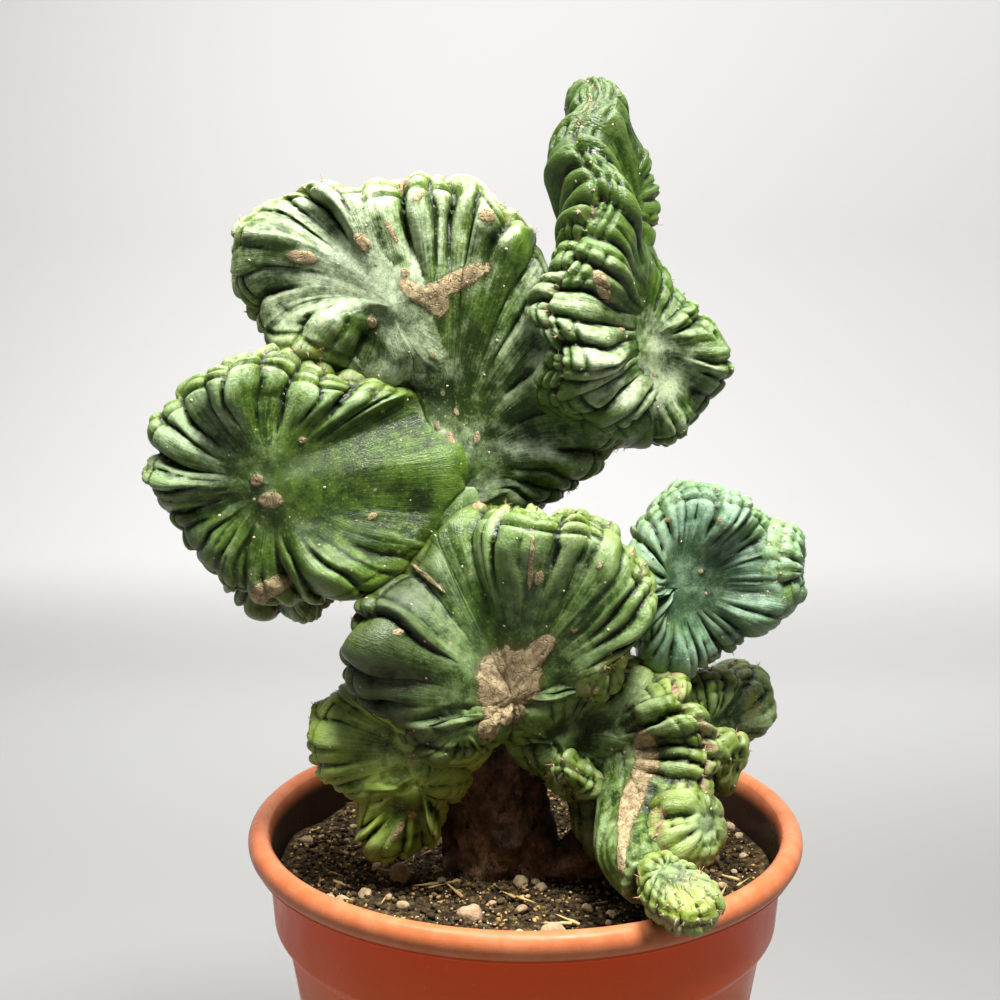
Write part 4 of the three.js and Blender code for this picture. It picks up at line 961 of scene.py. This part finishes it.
def bark_finish():
    """Dark peeling bark with paler and reddish patches, green again higher up."""
    material, g, shader, place = new_finish("trunk_bark", Roughness=0.85, Specular_IOR_Level=0.3)
    fibre = g.noise(g.stretched(place, 1.0, 1.0, 0.2), 700, 5, 0.7)
    flakes = g.noise(g.stretched(place, 1.0, 1.0, 0.55), 230, 5, 0.75)
    colour = g.colours(g.noise(place, 75, 5, 0.7), STOPS["bark"])
    colour = g.mix(g.ramp(fibre, 0.45, 0.75, 0.0, 0.6), colour, FIBRE_BROWN)
    colour = g.mix(g.ramp(flakes, 0.60, 0.64, 0.0, 0.7), colour, FLAKE_RED)
    colour = g.mix(g.ramp(flakes, 0.42, 0.36, 0.0, 0.85), colour, BARK_GAP)
    green = g.colours(g.noise(place, 120, 4, 0.55), STOPS["green_bark"])
    colour = g.mix(g.ramp(g.axis(place, "Z"), 0.170, 0.190), colour, green)
    g.feed(shader.inputs["Base Color"], colour)
    g.feed(shader.inputs["Normal"], g.bump(g.plus(g.times(flakes, 2.0), fibre), 0.9, 1.2))
    return material


def soil_finish(name, stops, scale, roughness):
    material, g, shader, place = new_finish(name, Roughness=roughness, Specular_IOR_Level=0.2)
    g.feed(shader.inputs["Base Color"], g.colours(g.noise(place, scale, 5, 0.75), stops))
    g.feed(shader.inputs["Normal"], g.bump(g.noise(place, scale * 2.5, 4, 0.7), 0.8, 0.8))
    return material


def pot_finish():
    """Glossy terracotta plastic: the bead is dulled and pinker, the wall runs to orange."""
    material, g, shader, place = new_finish("pot_plastic", Specular_IOR_Level=0.14)
    height = g.axis(place, "Z")
    normal = g.add("ShaderNodeNewGeometry").outputs["Normal"]
    outward = g.vector("DOT_PRODUCT", normal, g.stretched(place, 1.0, 1.0, 0.0))
    wall = g.colours(g.ramp(height, 0.06, 0.135), STOPS["pot_wall"])
    bead = g.mix(g.ramp(g.noise(place, 160, 4, 0.6), 0.35, 0.7), BEAD_DARK, BEAD_PALE)
    colour = g.mix(g.ramp(height, 0.1315, 0.1335), wall, bead)
    # painted shade: the pot's inside below the rim is painted near black
    inside = g.times(g.ramp(outward, 0.0, -0.04), g.ramp(height, 0.1375, 0.1330))
    colour = g.mix(inside, colour, POT_INSIDE_SHADE)
    scuffs = g.noise(g.stretched(place, 1.0, 1.0, 0.12), 700, 4, 0.7)
    colour = g.mix(g.ramp(scuffs, 0.62, 0.8, 0.0, 0.25), colour, POT_SCUFF)
    colour = g.mix(g.ramp(g.noise(place, 900, 3, 0.6), 0.68, 0.76, 0.0, 0.35), colour, POT_DUST)
    g.feed(shader.inputs["Base Color"], colour)
    g.feed(shader.inputs["Roughness"], g.ramp(g.noise(place, 60, 4, 0.6), 0.3, 0.75, 0.26, 0.46))
    g.feed(shader.inputs["Normal"], g.bump(g.noise(place, 1300, 3, 0.6), 0.12, 0.3))
    return material


def plain_finish(name, stops, scale, roughness):
    material, g, shader, place = new_finish(name, Roughness=roughness, Specular_IOR_Level=0.35)
    g.feed(shader.inputs["Base Color"], g.colours(g.noise(place, scale, 3, 0.6), stops))
    return material


def hollowness(places, normals, edges, rounds):
    """How far each point lies below its smoothed neighbourhood, in millimetres; below 0 on a ridge."""
    count = len(places)
    a, b = edges.T
    weights = np.maximum(np.bincount(edges.ravel(), minlength=count), 1)
    eased = places.copy()
    for _ in range(rounds):
        for axis in range(3):
            column = eased[:, axis]
            total = np.bincount(a, column[b], count) + np.bincount(b, column[a], count)
            eased[:, axis] = 0.5 * column + 0.5 * total / weights
    return ((eased - places) * normals).sum(1)


def camera_rays():
    """The camera's place and its right, up and forward ways, in millimetres."""
    pitch = math.radians(CAMERA_PITCH)
    forward = np.array([0, math.cos(pitch), -math.sin(pitch)])
    up = np.array([0, math.sin(pitch), math.cos(pitch)])
    return np.array(CAMERA_PLACE), np.array([1.0, 0, 0]), up, forward


def scar_field(places, normals, scars, tree):
    """Above 0 inside a scar; each is an oval round the point that the camera sees at its pixel."""
    eye, right, up, forward = camera_rays()
    middle = IMAGE_SIZE / 2
    field = np.full(len(places), -1.0)
    for x, y, half_long, half_wide, turn in scars:
        way = (x - middle) / FOCAL_PIXELS * right + (middle - y) / FOCAL_PIXELS * up + forward
        hit, normal, _, _ = tree.ray_cast(Vector(eye), Vector(way))
        if hit is None:
            continue
        offset = places - np.array(hit)
        near = np.linalg.norm(offset, axis=1) < 2.2 * half_long + 2
        angle = math.radians(turn)
        u, v = offset @ right, offset @ up
        a = (u * math.cos(angle) + v * math.sin(angle)) / half_long
        b = (v * math.cos(angle) - u * math.sin(angle)) / half_wide
        oval = 1 - np.sqrt(a * a + b * b)
        facing = normals @ np.array(normal) > -0.2
        field = np.where(near & facing, np.maximum(field, oval), field)
    return field


def far_side_scars(places, normals, count, seed, field):
    """Scars of the sides that the picture doesn't show, on a few points picked by a seeded draw."""
    draw = np.random.default_rng(seed)
    behind = np.nonzero((normals[:, 1] > 0.5) & (places[:, 1] > places[:, 1].mean()))[0]
    for i in draw.choice(behind, count, replace=False):
        size = draw.uniform(1.2, 3.2)
        stretch = np.array([1.0, 1.0, draw.uniform(0.5, 1.6)])
        field = np.maximum(field, 1 - np.linalg.norm((places - places[i]) / (size * stretch), axis=1))
    return field


# Fans and what stands near them
fans = {(crest, name): Fan(**numbers) for crest, parts in CRESTS.items() for name, numbers in parts.items()}
near_trees = {}
for key, fan in fans.items():
    points, quads, tris = fan_surface(fan, ROUGH_STEP, ROUGH_STEP)
    near_trees[key] = rough_tree(points["place"], quads, tris)
limbs = {("limb", k): (stations, TRUNK_WAVES) for k, stations in enumerate(TRUNK_LIMBS)}
limbs.update({(crest, "stem"): (stations, STEM_WAVES) for crest, stations in CREST_STEMS.items()})
for key, (stations, waves) in limbs.items():
    near_trees[key] = rough_tree(*limb_surface(stations, ROUGH_LIMB, ROUGH_LIMB, waves))


def limb_length(stations):
    """Length of a limb from station to station."""
    return sum(math.dist(a[:3], b[:3]) for a, b in zip(stations, stations[1:]))


def fan_piece(key):
    """A fan with its ribs, swollen where it grows into its neighbours."""
    fan = fans[key]
    points, quads, tris = fan_surface(fan)
    others = [tree for other, tree in near_trees.items() if other != key]
    distance = nearness(points["place"], others, FILLET)
    close = np.clip(1 - np.maximum(distance, 0) / FILLET, 0, 1) ** 2
    outside = smooth(-7.0, -1.5, distance)
    height = points["height"] * (1 - 0.75 * close) + FILLET_RISE * close * outside
    places = points["place"] + points["way"] * height[:, None]
    mesh = mesh_from("_".join(key), places, quads, tris)
    deep = np.clip(1 + 1.5 * points["height"] * (1 - 0.6 * close) / fan.rib, 0, 1)
    sources = dict(relief=deep, **{name: points[name] for name in ("edge", "rho", "flow", "bare")})
    return place_object("fan_" + "_".join(key), mesh), places, sources


def limb_mesh(name, stations, waves):
    places, quads, tris = limb_surface(stations, LIMB_SIDES, int(limb_length(stations)), waves)
    return mesh_from(name, places, quads, tris), places


def stem_piece(crest):
    """A crest's green stem."""
    mesh, places = limb_mesh(crest + "_stem", CREST_STEMS[crest], STEM_WAVES)
    count = len(places)
    flow = np.column_stack([places[:, 0], places[:, 2] * 0.5, places[:, 1]])
    sources = dict(relief=np.zeros(count), edge=np.full(count, 99.0), rho=np.zeros(count), flow=flow,
                   bare=np.full(count, 0.6))
    return place_object(crest + "_stem", mesh), places, sources


def carried_over(made, places):
    """What each fan and stem knew at its points, for the points of the joined crest."""
    known = np.concatenate([own for _, own, _ in made])
    lookup = KDTree(len(known))
    for i, place in enumerate(known.tolist()):
        lookup.insert(place, i)
    lookup.balance()
    nearest = np.array([lookup.find(place)[1] for place in places.tolist()])
    return {name: np.concatenate([sources[name] for _, _, sources in made])[nearest]
            for name in ("relief", "edge", "rho", "flow", "bare")}


def crest_piece(crest):
    """A crest grown together from its fans and its stem, with its scars and what its skin reads."""
    made = [fan_piece(key) for key in fans if key[0] == crest]
    if crest in CREST_STEMS:
        made.append(stem_piece(crest))
    piece = union_of([piece for piece, _, _ in made])
    piece.name = "crest_" + crest + "_skin"
    mesh = piece.data
    mesh.materials.clear()
    mesh.materials.append(crest_finish("skin_" + crest, **LOOKS[crest]))
    places, normals, edges = places_of(mesh), normals_of(mesh), edges_of(mesh)
    values = carried_over(made, places)
    values["crevice"] = hollowness(places, normals, edges, CREVICE_ROUNDS)
    values["hollow"] = hollowness(places, normals, edges, HOLLOW_ROUNDS)
    tree = tree_of(places, [tuple(polygon.vertices) for polygon in mesh.polygons])
    cork = scar_field(places, normals, SCARS[crest], tree)
    cork = far_side_scars(places, normals, FAR_SIDE_SCARS, len(crest), cork)
    values["tips"] = scar_field(places, normals, TIPS.get(crest, []), tree)
    raised = SCAR_RISE * smooth(-0.05, 0.25, cork)
    roughness = np.array([noise.noise(Vector(place) * 0.9) if value > -0.05 else 0.0
                          for place, value in zip(places.tolist(), cork)])
    places = places + normals * (raised * (1 + 1.1 * roughness))[:, None]
    move_points(mesh, places)
    values["cork"] = cork
    for name, value in values.items():
        set_attribute(mesh, name, value)
    shade_smooth(mesh)
    mesh.update()
    return piece, places, normals, values


def grown(places, scale, seed):
    """Fractal noise at each place, about -1 to 1."""
    shift = Vector((seed * 7.1, seed * 3.3, seed * 5.7))
    return np.array([noise.fractal(Vector(p) * scale + shift, 0.9, 2.1, 4) for p in places.tolist()])


def trunk_piece():
    """The woody trunk, ridged along its limbs and lumpy."""
    pieces = []
    for k, stations in enumerate(TRUNK_LIMBS):
        pieces.append(place_object(f"limb_{k}", limb_mesh(f"limb_{k}", stations, TRUNK_WAVES)[0]))
    piece = union_of(pieces)
    piece.name = "trunk_wood"
    mesh = piece.data
    places, normals = places_of(mesh), normals_of(mesh)
    ridges = 1 - np.abs(grown(places * np.array([1.0, 1.0, 0.35]), 0.16, 1.0)) * 2.2
    lumps = grown(places, 0.07, 2.0)
    move_points(mesh, places + normals * (1.5 * np.clip(ridges, -1, 1) - 1.2 + 1.5 * lumps)[:, None])
    mesh.materials.clear()
    mesh.materials.append(bark_finish())
    shade_smooth(mesh)
    mesh.update()
    return piece


def inner_radius(z):
    """Radius of the pot's inner wall at height z."""
    if z >= BODY_TOP:
        return COLLAR_RADIUS - WALL + (z - BODY_TOP) * 0.09
    return BASE_RADIUS + (COLLAR_RADIUS - LEDGE - BASE_RADIUS) * z / BODY_TOP - WALL


def lathe(name, profile, sides):
    """A turned solid; the profile runs from the axis round to the axis."""
    profile = np.array(profile, float)
    ring = profile[1:-1]
    angle = 2 * np.pi * np.arange(sides) / sides
    places = np.stack([ring[:, :1] * np.cos(angle), ring[:, :1] * np.sin(angle),
                       np.repeat(ring[:, 1:], sides, 1)], -1).reshape(-1, 3)
    places = np.vstack([places, [[0, 0, profile[0, 1]]], [[0, 0, profile[-1, 1]]]])
    return mesh_from(name, places, *ring_faces(len(ring), sides))


def rounded(points, radius):
    """A profile with each inner corner rounded."""
    points = [np.array(p, float) for p in points]
    result = [points[0]]
    for before, corner, after in zip(points, points[1:], points[2:]):
        to_before, to_after = before - corner, after - corner
        reach = min(radius, 0.45 * np.linalg.norm(to_before), 0.45 * np.linalg.norm(to_after))
        a = corner + to_before / np.linalg.norm(to_before) * reach
        b = corner + to_after / np.linalg.norm(to_after) * reach
        for t in np.linspace(0, 1, CORNER_POINTS):
            result.append((1 - t) ** 2 * a + 2 * t * (1 - t) * corner + t * t * b)
    return result + [points[-1]]


def pot_profile():
    """The pot's outline: up the outside, over the bead, with the mould's flash under it, and down."""
    bead_bottom = POT_HEIGHT - BEAD_HEIGHT
    outside = rounded([(0, 0), (BASE_RADIUS, 0), (COLLAR_RADIUS - LEDGE, BODY_TOP - 1),
                       (COLLAR_RADIUS, BODY_TOP + 1.5), (COLLAR_RADIUS + 1.6, bead_bottom),
                       (RIM_RADIUS - 3.0, bead_bottom - 0.2)], OUTER_ROUNDING)
    flash = [(RIM_RADIUS - in_by, bead_bottom + up_by) for in_by, up_by in FLASH]
    middle = np.array([RIM_RADIUS - BEAD_WIDTH / 2, POT_HEIGHT - BEAD_HEIGHT / 2])
    bead = [middle + [BEAD_WIDTH / 2 * math.cos(angle), BEAD_HEIGHT / 2 * math.sin(angle)]
            for angle in np.radians(np.arange(*BEAD_ARC))]
    inside = rounded([bead[-1], (inner_radius(POT_HEIGHT - 2), POT_HEIGHT - 4.5),
                      (inner_radius(BODY_TOP), BODY_TOP), (inner_radius(BODY_TOP - 2), BODY_TOP - 2),
                      (inner_radius(POT_FLOOR), POT_FLOOR), (0, POT_FLOOR)], INNER_ROUNDING)
    return outside + flash + bead[:-1] + inside


def pot_piece():
    """The moulded pot with its drain holes."""
    piece = place_object("pot_shell", lathe("pot", pot_profile(), POT_SIDES), pot_finish())
    cutters = bmesh.new()
    for i in range(DRAIN_HOLES):
        angle = 2 * math.pi * (i + 0.5) / DRAIN_HOLES
        at = Vector((DRAIN_CIRCLE * math.cos(angle), DRAIN_CIRCLE * math.sin(angle), 0)) * MM
        bmesh.ops.create_cone(cutters, cap_ends=True, segments=DRAIN_SIDES, radius1=DRAIN_RADIUS * MM,
                              radius2=DRAIN_RADIUS * MM, depth=4 * POT_FLOOR * MM,
                              matrix=Matrix.Translation(at))
    cutter = place_object("holes", finished_mesh("holes", cutters))
    add_boolean(piece, cutter, "DIFFERENCE")
    flattened(piece)
    bpy.data.objects.remove(cutter)
    shade_smooth(piece.data)
    return piece


def soil_height(x, y):
    """Height of the soil's top, lower near the pot's wall."""
    waves = 1.2 * np.sin(0.07 * x + 0.5) * np.cos(0.06 * y) + 0.8 * np.sin(0.15 * y + 0.1 * x)
    return SOIL_TOP + waves - 2.5 * smooth(55, 75, np.hypot(x, y))


def soil_piece():
    """The soil: a crumbly top, and a body that fills the pot."""
    top = inner_radius(SOIL_TOP - 4) - SOIL_GAP
    radius = top * (np.arange(1, SOIL_RINGS + 1) / SOIL_RINGS) ** 0.85
    angle = 2 * np.pi * np.arange(SOIL_SIDES) / SOIL_SIDES
    x, y = radius[:, None] * np.cos(angle), radius[:, None] * np.sin(angle)
    z = soil_height(x, y)
    flat = np.stack([x, y, z], -1).reshape(-1, 3)
    clods = grown(flat, 0.11, 3.0)
    grains = grown(flat, 0.5, 4.0)
    z = z + (1.1 * clods + 0.75 * grains).reshape(z.shape) * smooth(0.0, 3.0, top - radius)[:, None]
    levels = (BODY_TOP + 0.6, BODY_TOP - 1.2, POT_FLOOR + 0.3)
    places = np.stack([x, y, z], -1).reshape(-1, 3)
    for height in levels:
        r = inner_radius(height) - SOIL_GAP
        wall = np.stack([r * np.cos(angle), r * np.sin(angle), np.full(SOIL_SIDES, height)], 1)
        places = np.vstack([places, wall])
    places = np.vstack([places, [[0, 0, SOIL_TOP]], [[0, 0, levels[-1]]]])
    mesh = mesh_from("soil", places, *ring_faces(SOIL_RINGS + len(levels), SOIL_SIDES, flip=True))
    return place_object("soil_bed", mesh, soil_finish("soil_peat", STOPS["peat"], 420, 0.95))


def stone_mesh(name, detail, seed, flatten):
    """A worn stone as a faceted ball pushed about by noise."""
    work = bmesh.new()
    bmesh.ops.create_icosphere(work, subdivisions=detail, radius=1.0)
    shift = Vector((seed * 3.1, seed * 1.7, seed * 2.3))
    for vertex in work.verts:
        lump = 1 + 0.22 * noise.noise(vertex.co * 1.1 + shift) + 0.07 * noise.noise(vertex.co * 3.1 + shift)
        vertex.co = Vector(c * f for c, f in zip(vertex.co * lump, flatten))
    mesh = finished_mesh(name, work)
    shade_smooth(mesh)
    return mesh


def pebble_piece(i):
    """A pebble where the solid lies, with a shade of its own."""
    low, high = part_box(f"pebble_{i + 1}")
    middle, half = (low + high) / 2, (high - low) / 2
    mesh = stone_mesh(f"pebble_{i + 1}", 4, i + 2.0, (1.0, 1.0, 1.0))
    co = np.array([vertex.co for vertex in mesh.vertices])
    co = co / np.abs(co).max(0) * np.array(half) * PEBBLE_OVERSIZE + np.array(middle)
    mesh.vertices.foreach_set("co", co.astype(np.float32).ravel())
    shade = 0.75 + 0.5 * float(hashed(i, 5.5))
    pink = float(hashed(i, 6.6))
    pale = (0.44 * shade, (0.31 + 0.05 * (1 - pink)) * shade, 0.19 * shade)
    dark = (0.30 * shade, 0.17 * shade, 0.10 * shade)
    finish = soil_finish(f"pebble_stone_{i + 1}", [(0.3, dark), (0.6, pale), (0.8, PEBBLE_GLINT)], 260, 0.8)
    return place_object(f"pebble_{i + 1}_stone", mesh, finish)


def scatter_tree():
    """Stands copies of a piece on points, turned to the points' own way and sized by their own size."""
    tree = bpy.data.node_groups.new("scatter", "GeometryNodeTree")
    sockets = dict(Geometry="Geometry", Piece="Object", Copies="Int", Spread="Float", Smallest="Float",
                   Seed="Int", Finish="Material")
    for name, kind in sockets.items():
        tree.interface.new_socket(name, in_out="INPUT", socket_type="NodeSocket" + kind)
    tree.interface.new_socket("Geometry", in_out="OUTPUT", socket_type="NodeSocketGeometry")
    g = Graph(tree)
    given = g.add("NodeGroupInput").outputs
    index = g.add("GeometryNodeInputIndex").outputs[0]

    def own(name, kind):
        return g.add("GeometryNodeInputNamedAttribute", {"Name": name}, data_type=kind).outputs["Attribute"]

    def drawn(kind, salt, inputs):
        seed = g.add("FunctionNodeIntegerMath", {0: given["Seed"], 1: salt}, operation="ADD").outputs[0]
        node = g.add("FunctionNodeRandomValue", {**inputs, "ID": index, "Seed": seed}, data_type=kind)
        return next(socket for socket in node.outputs if socket.enabled)

    def shaped(kind, inputs, output="Geometry", **settings):
        return g.add("GeometryNode" + kind, inputs, **settings).outputs[output]

    copies = shaped("DuplicateElements", {"Geometry": given["Geometry"], "Amount": given["Copies"]},
                    domain="POINT")
    stray = drawn("FLOAT_VECTOR", 0, {"Min": (-1.0, -1.0, -1.0), "Max": (1.0, 1.0, 1.0)})
    stray = g.add("ShaderNodeVectorMath", {0: stray, "Scale": given["Spread"]}, operation="SCALE")
    aim = g.vector("ADD", own("way", "FLOAT_VECTOR"), stray.outputs["Vector"])
    turn = g.add("FunctionNodeAlignRotationToVector", {"Vector": aim}, axis="Z").outputs["Rotation"]
    spin = drawn("FLOAT", 1, {2: 0.0, 3: 2 * math.pi})
    twist = g.add("FunctionNodeAxisAngleToRotation", {"Axis": (0.0, 0.0, 1.0), "Angle": spin}).outputs[0]
    turned = g.add("FunctionNodeRotateRotation", {"Rotation": turn, "Rotate By": twist},
                   rotation_space="LOCAL").outputs[0]
    size = g.times(own("size", "FLOAT"), drawn("FLOAT", 2, {2: given["Smallest"], 3: 1.0}))
    piece = shaped("ObjectInfo", {"Object": given["Piece"]})
    stood = shaped("InstanceOnPoints", {"Points": copies, "Instance": piece, "Rotation": turned,
                                        "Scale": size}, "Instances")
    real = shaped("RealizeInstances", {"Geometry": stood})
    dressed = shaped("SetMaterial", {"Geometry": real, "Material": given["Finish"]})
    g.add("NodeGroupOutput", {"Geometry": dressed})
    return tree


SCATTER = scatter_tree()


def scattered(name, places, ways, sizes, template, finish, copies=1, spread=0.0, smallest=0.7, seed=1):
    """A plain mesh of copies of the template mesh on the places."""
    mesh = mesh_from(name, places, [])
    set_attribute(mesh, "way", ways)
    set_attribute(mesh, "size", sizes)
    piece = place_object(name, mesh)
    source = place_object(name + "_one", template)
    modifier = piece.modifiers.new("scatter", "NODES")
    modifier.node_group = SCATTER
    values = {"Piece": source, "Copies": copies, "Spread": spread, "Smallest": smallest, "Seed": seed,
              "Finish": finish}
    for item in SCATTER.interface.items_tree:
        if item.in_out == "INPUT" and item.name in values:
            modifier[item.identifier] = values[item.name]
    flattened(piece)
    bpy.data.objects.remove(source)
    shade_smooth(piece.data)
    return piece


def spine_template():
    """A needle one unit long with a swollen foot, sunk a little below its point."""
    work = bmesh.new()
    previous = None
    for height, radius in SPINE_RINGS:
        ring = [work.verts.new((radius * math.cos(a), radius * math.sin(a), height))
                for a in np.linspace(0, 2 * np.pi, SPINE_SIDES, endpoint=False)]
        if previous:
            for k in range(SPINE_SIDES):
                after = (k + 1) % SPINE_SIDES
                work.faces.new((previous[k], previous[after], ring[after], ring[k]))
        else:
            work.faces.new(ring[::-1])
        previous = ring
    tip = work.verts.new((0, 0, 1.0))
    for k in range(SPINE_SIDES):
        work.faces.new((previous[k], previous[(k + 1) % SPINE_SIDES], tip))
    mesh = finished_mesh("spine", work)
    mesh.transform(Matrix.Scale(MM, 4))
    return mesh


def unit_stone(name, detail, seed, flatten):
    """A stone one millimetre in radius, to be scattered."""
    mesh = stone_mesh(name, detail, seed, flatten)
    mesh.transform(Matrix.Scale(MM, 4))
    return mesh


def thinned(places, candidates, gap, draw, limit):
    """Candidates in a drawn order, none nearer than gap to one already taken."""
    taken = []
    cells = {}
    for i in draw.permutation(candidates):
        cell = tuple(np.floor(places[i] / gap).astype(int))
        around = [cells.get((cell[0] + a, cell[1] + b, cell[2] + c), ())
                  for a in (-1, 0, 1) for b in (-1, 0, 1) for c in (-1, 0, 1)]
        if any(np.linalg.norm(places[i] - places[j]) < gap for group in around for j in group):
            continue
        cells.setdefault(cell, []).append(i)
        taken.append(i)
        if len(taken) >= limit:
            break
    return np.array(taken, int)


def dress_crests(made):
    """Areoles of tan wool with short spines, closer along the growing edge."""
    draw = np.random.default_rng(AREOLE_SEED)
    spots, ways, sizes, spiny = [], [], [], []
    for _, places, normals, values in made.values():
        on_edge = values["edge"] < 2.2
        on_ribs = (values["relief"] > 0.75) & (values["rho"] > 0.3) & (values["edge"] > 6)
        on_tips = values["tips"] > 0.1
        groups = [(thinned(places, np.nonzero(where)[0], gap, draw, most), size, has_spines)
                  for where, (gap, most, size, has_spines) in zip((on_edge, on_ribs, on_tips), AREOLES)]
        for picks, size, has_spines in groups:
            spots.append(places[picks])
            ways.append(normals[picks])
            sizes.append(size * draw.uniform(0.6, 1.15, len(picks)))
            spiny.append(np.full(len(picks), has_spines))
    spots, ways, sizes, spiny = (np.concatenate(part) for part in (spots, ways, sizes, spiny))
    wool = scattered("areole_wool", spots, ways, WOOL_SIZE * sizes,
                     unit_stone("wool", 2, 3.0, (1.0, 0.8, 0.45)),
                     plain_finish("wool_tan", STOPS["wool"], 1500, 0.95), seed=3)
    spines = scattered("spines", spots[spiny], ways[spiny], SPINE_LENGTH * sizes[spiny], spine_template(),
                       plain_finish("spine_straw", STOPS["spine"], 700, 0.55),
                       copies=3, spread=0.75, smallest=0.45, seed=8)
    return wool, spines


def soil_points(count, seed):
    """Points drawn on the soil's top, with the draw that goes on from there."""
    draw = np.random.default_rng(seed)
    radius = np.sqrt(draw.uniform(0.03, 1, count)) * (inner_radius(SOIL_TOP) - 4.0)
    angle = draw.uniform(0, 2 * np.pi, count)
    x, y = radius * np.cos(angle), radius * np.sin(angle)
    return np.stack([x, y, soil_height(x, y)], 1), draw


def dress_soil():
    """Crumbs, ochre grains, small stones, white specks and straw on the soil."""
    pieces = []
    for name, (count, size, detail, flatten, smallest, seed) in SOIL_LITTER.items():
        places, draw = soil_points(count, seed)
        ways = unit(draw.normal(0, 0.35, (count, 3)) + [0, 0, 1.0])
        sizes = np.full(count, size) * draw.uniform(0.6, 1.2, count)
        places[:, 2] += 0.15 * size + 0.4
        finish = plain_finish(name, STOPS[name], 330, 0.95)
        pieces.append(scattered(name, places, ways, sizes, unit_stone(name + "_one", detail, seed, flatten),
                                finish, smallest=smallest, seed=seed))
    places, draw = soil_points(STRAWS, 15)
    places[:, 2] += 1.6
    ways = unit(np.stack([draw.normal(0, spread, STRAWS) for spread in (1, 1, 0.12)], 1))
    pieces.append(scattered("soil_straw", places, ways, draw.uniform(4, 9, STRAWS), spine_template(),
                            plain_finish("straw", STOPS["straw"], 200, 0.8), smallest=0.5, seed=15))
    return pieces


def stage_piece():
    """Pale floor that sweeps up into a pale backdrop, with painted shade: darker on the floor than on the
    wall, darkest near the front and darker to the right.
    """
    front, back, radius, side, top = -900.0, 620.0, 300.0, 1600.0, 1500.0
    line = [(front, 0.0)]
    for angle in np.linspace(-90, 0, 25):
        a = math.radians(angle)
        line.append((back + radius * math.cos(a), radius + radius * math.sin(a)))
    line.append((back + radius, top))
    places = [(x, y, z) for y, z in line for x in (-side, side)]
    quads = [(2 * k, 2 * k + 1, 2 * k + 3, 2 * k + 2) for k in range(len(line) - 1)]
    material, g, shader, place = new_finish("studio_paper", Roughness=0.95)
    # painted shade: darker to the right, on the floor and near the front
    shade_to_right = g.ramp(g.axis(place, "X"), -0.3, 0.35)
    near, wall = g.mix(shade_to_right, *SHADED_PAPER_NEAR), g.mix(shade_to_right, *SHADED_PAPER_WALL)
    floor = g.mix(g.ramp(g.axis(place, "Y"), 0.2, 0.62), near, SHADED_PAPER_FLOOR)
    g.feed(shader.inputs["Base Color"], g.mix(g.ramp(g.axis(place, "Z"), 0.0, 0.05), floor, wall))
    return place_object("studio_floor", mesh_from("studio_floor", places, quads), material)


def soft_light(name, place, aim, size, power, colour):
    light = bpy.data.lights.new(name, "AREA")
    light.shape = "RECTANGLE"
    light.size, light.size_y = size[0] * MM, size[1] * MM
    light.energy = power
    light.color = colour
    lamp = bpy.data.objects.new(name, light)
    lamp.location = Vector(place) * MM
    lamp.rotation_mode = "QUATERNION"
    lamp.rotation_quaternion = (Vector(aim) - Vector(place)).to_track_quat("-Z", "Y")
    scene.collection.objects.link(lamp)


def place_camera():
    data = bpy.data.cameras.new("camera")
    camera = bpy.data.objects.new("camera", data)
    data.sensor_width = SENSOR
    data.lens = SENSOR * FOCAL_PIXELS / IMAGE_SIZE
    data.clip_start = 0.01
    camera.location = Vector(CAMERA_PLACE) * MM
    camera.rotation_euler = (math.pi / 2 - math.radians(CAMERA_PITCH), 0, 0)
    scene.collection.objects.link(camera)
    scene.camera = camera


place_camera()
world = bpy.data.worlds.new("studio")
world.use_nodes = True
world.node_tree.nodes["Background"].inputs["Color"].default_value = AROUND_COLOUR
world.node_tree.nodes["Background"].inputs["Strength"].default_value = AROUND_STRENGTH
scene.world = world
scene.view_settings.view_transform = "Standard"
for name, values in LIGHTS.items():
    soft_light(name, *values)

crests = {name: crest_piece(name) for name in CRESTS}
for name, (piece, _, _, _) in crests.items():
    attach(piece, "root")
    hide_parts("crest_" + name)
for piece in dress_crests(crests):
    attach(piece, "root")

for piece, node, slot in [(trunk_piece(), "trunk", "bark"), (pot_piece(), "pot", "pot"),
                          (soil_piece(), "soil", "soil")]:
    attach(piece, "root")
    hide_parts(node)
for i in range(PEBBLES):
    piece = pebble_piece(i)
    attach(piece, "root")
    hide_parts(f"pebble_{i + 1}")
for piece in dress_soil():
    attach(piece, "root")
stage_piece()
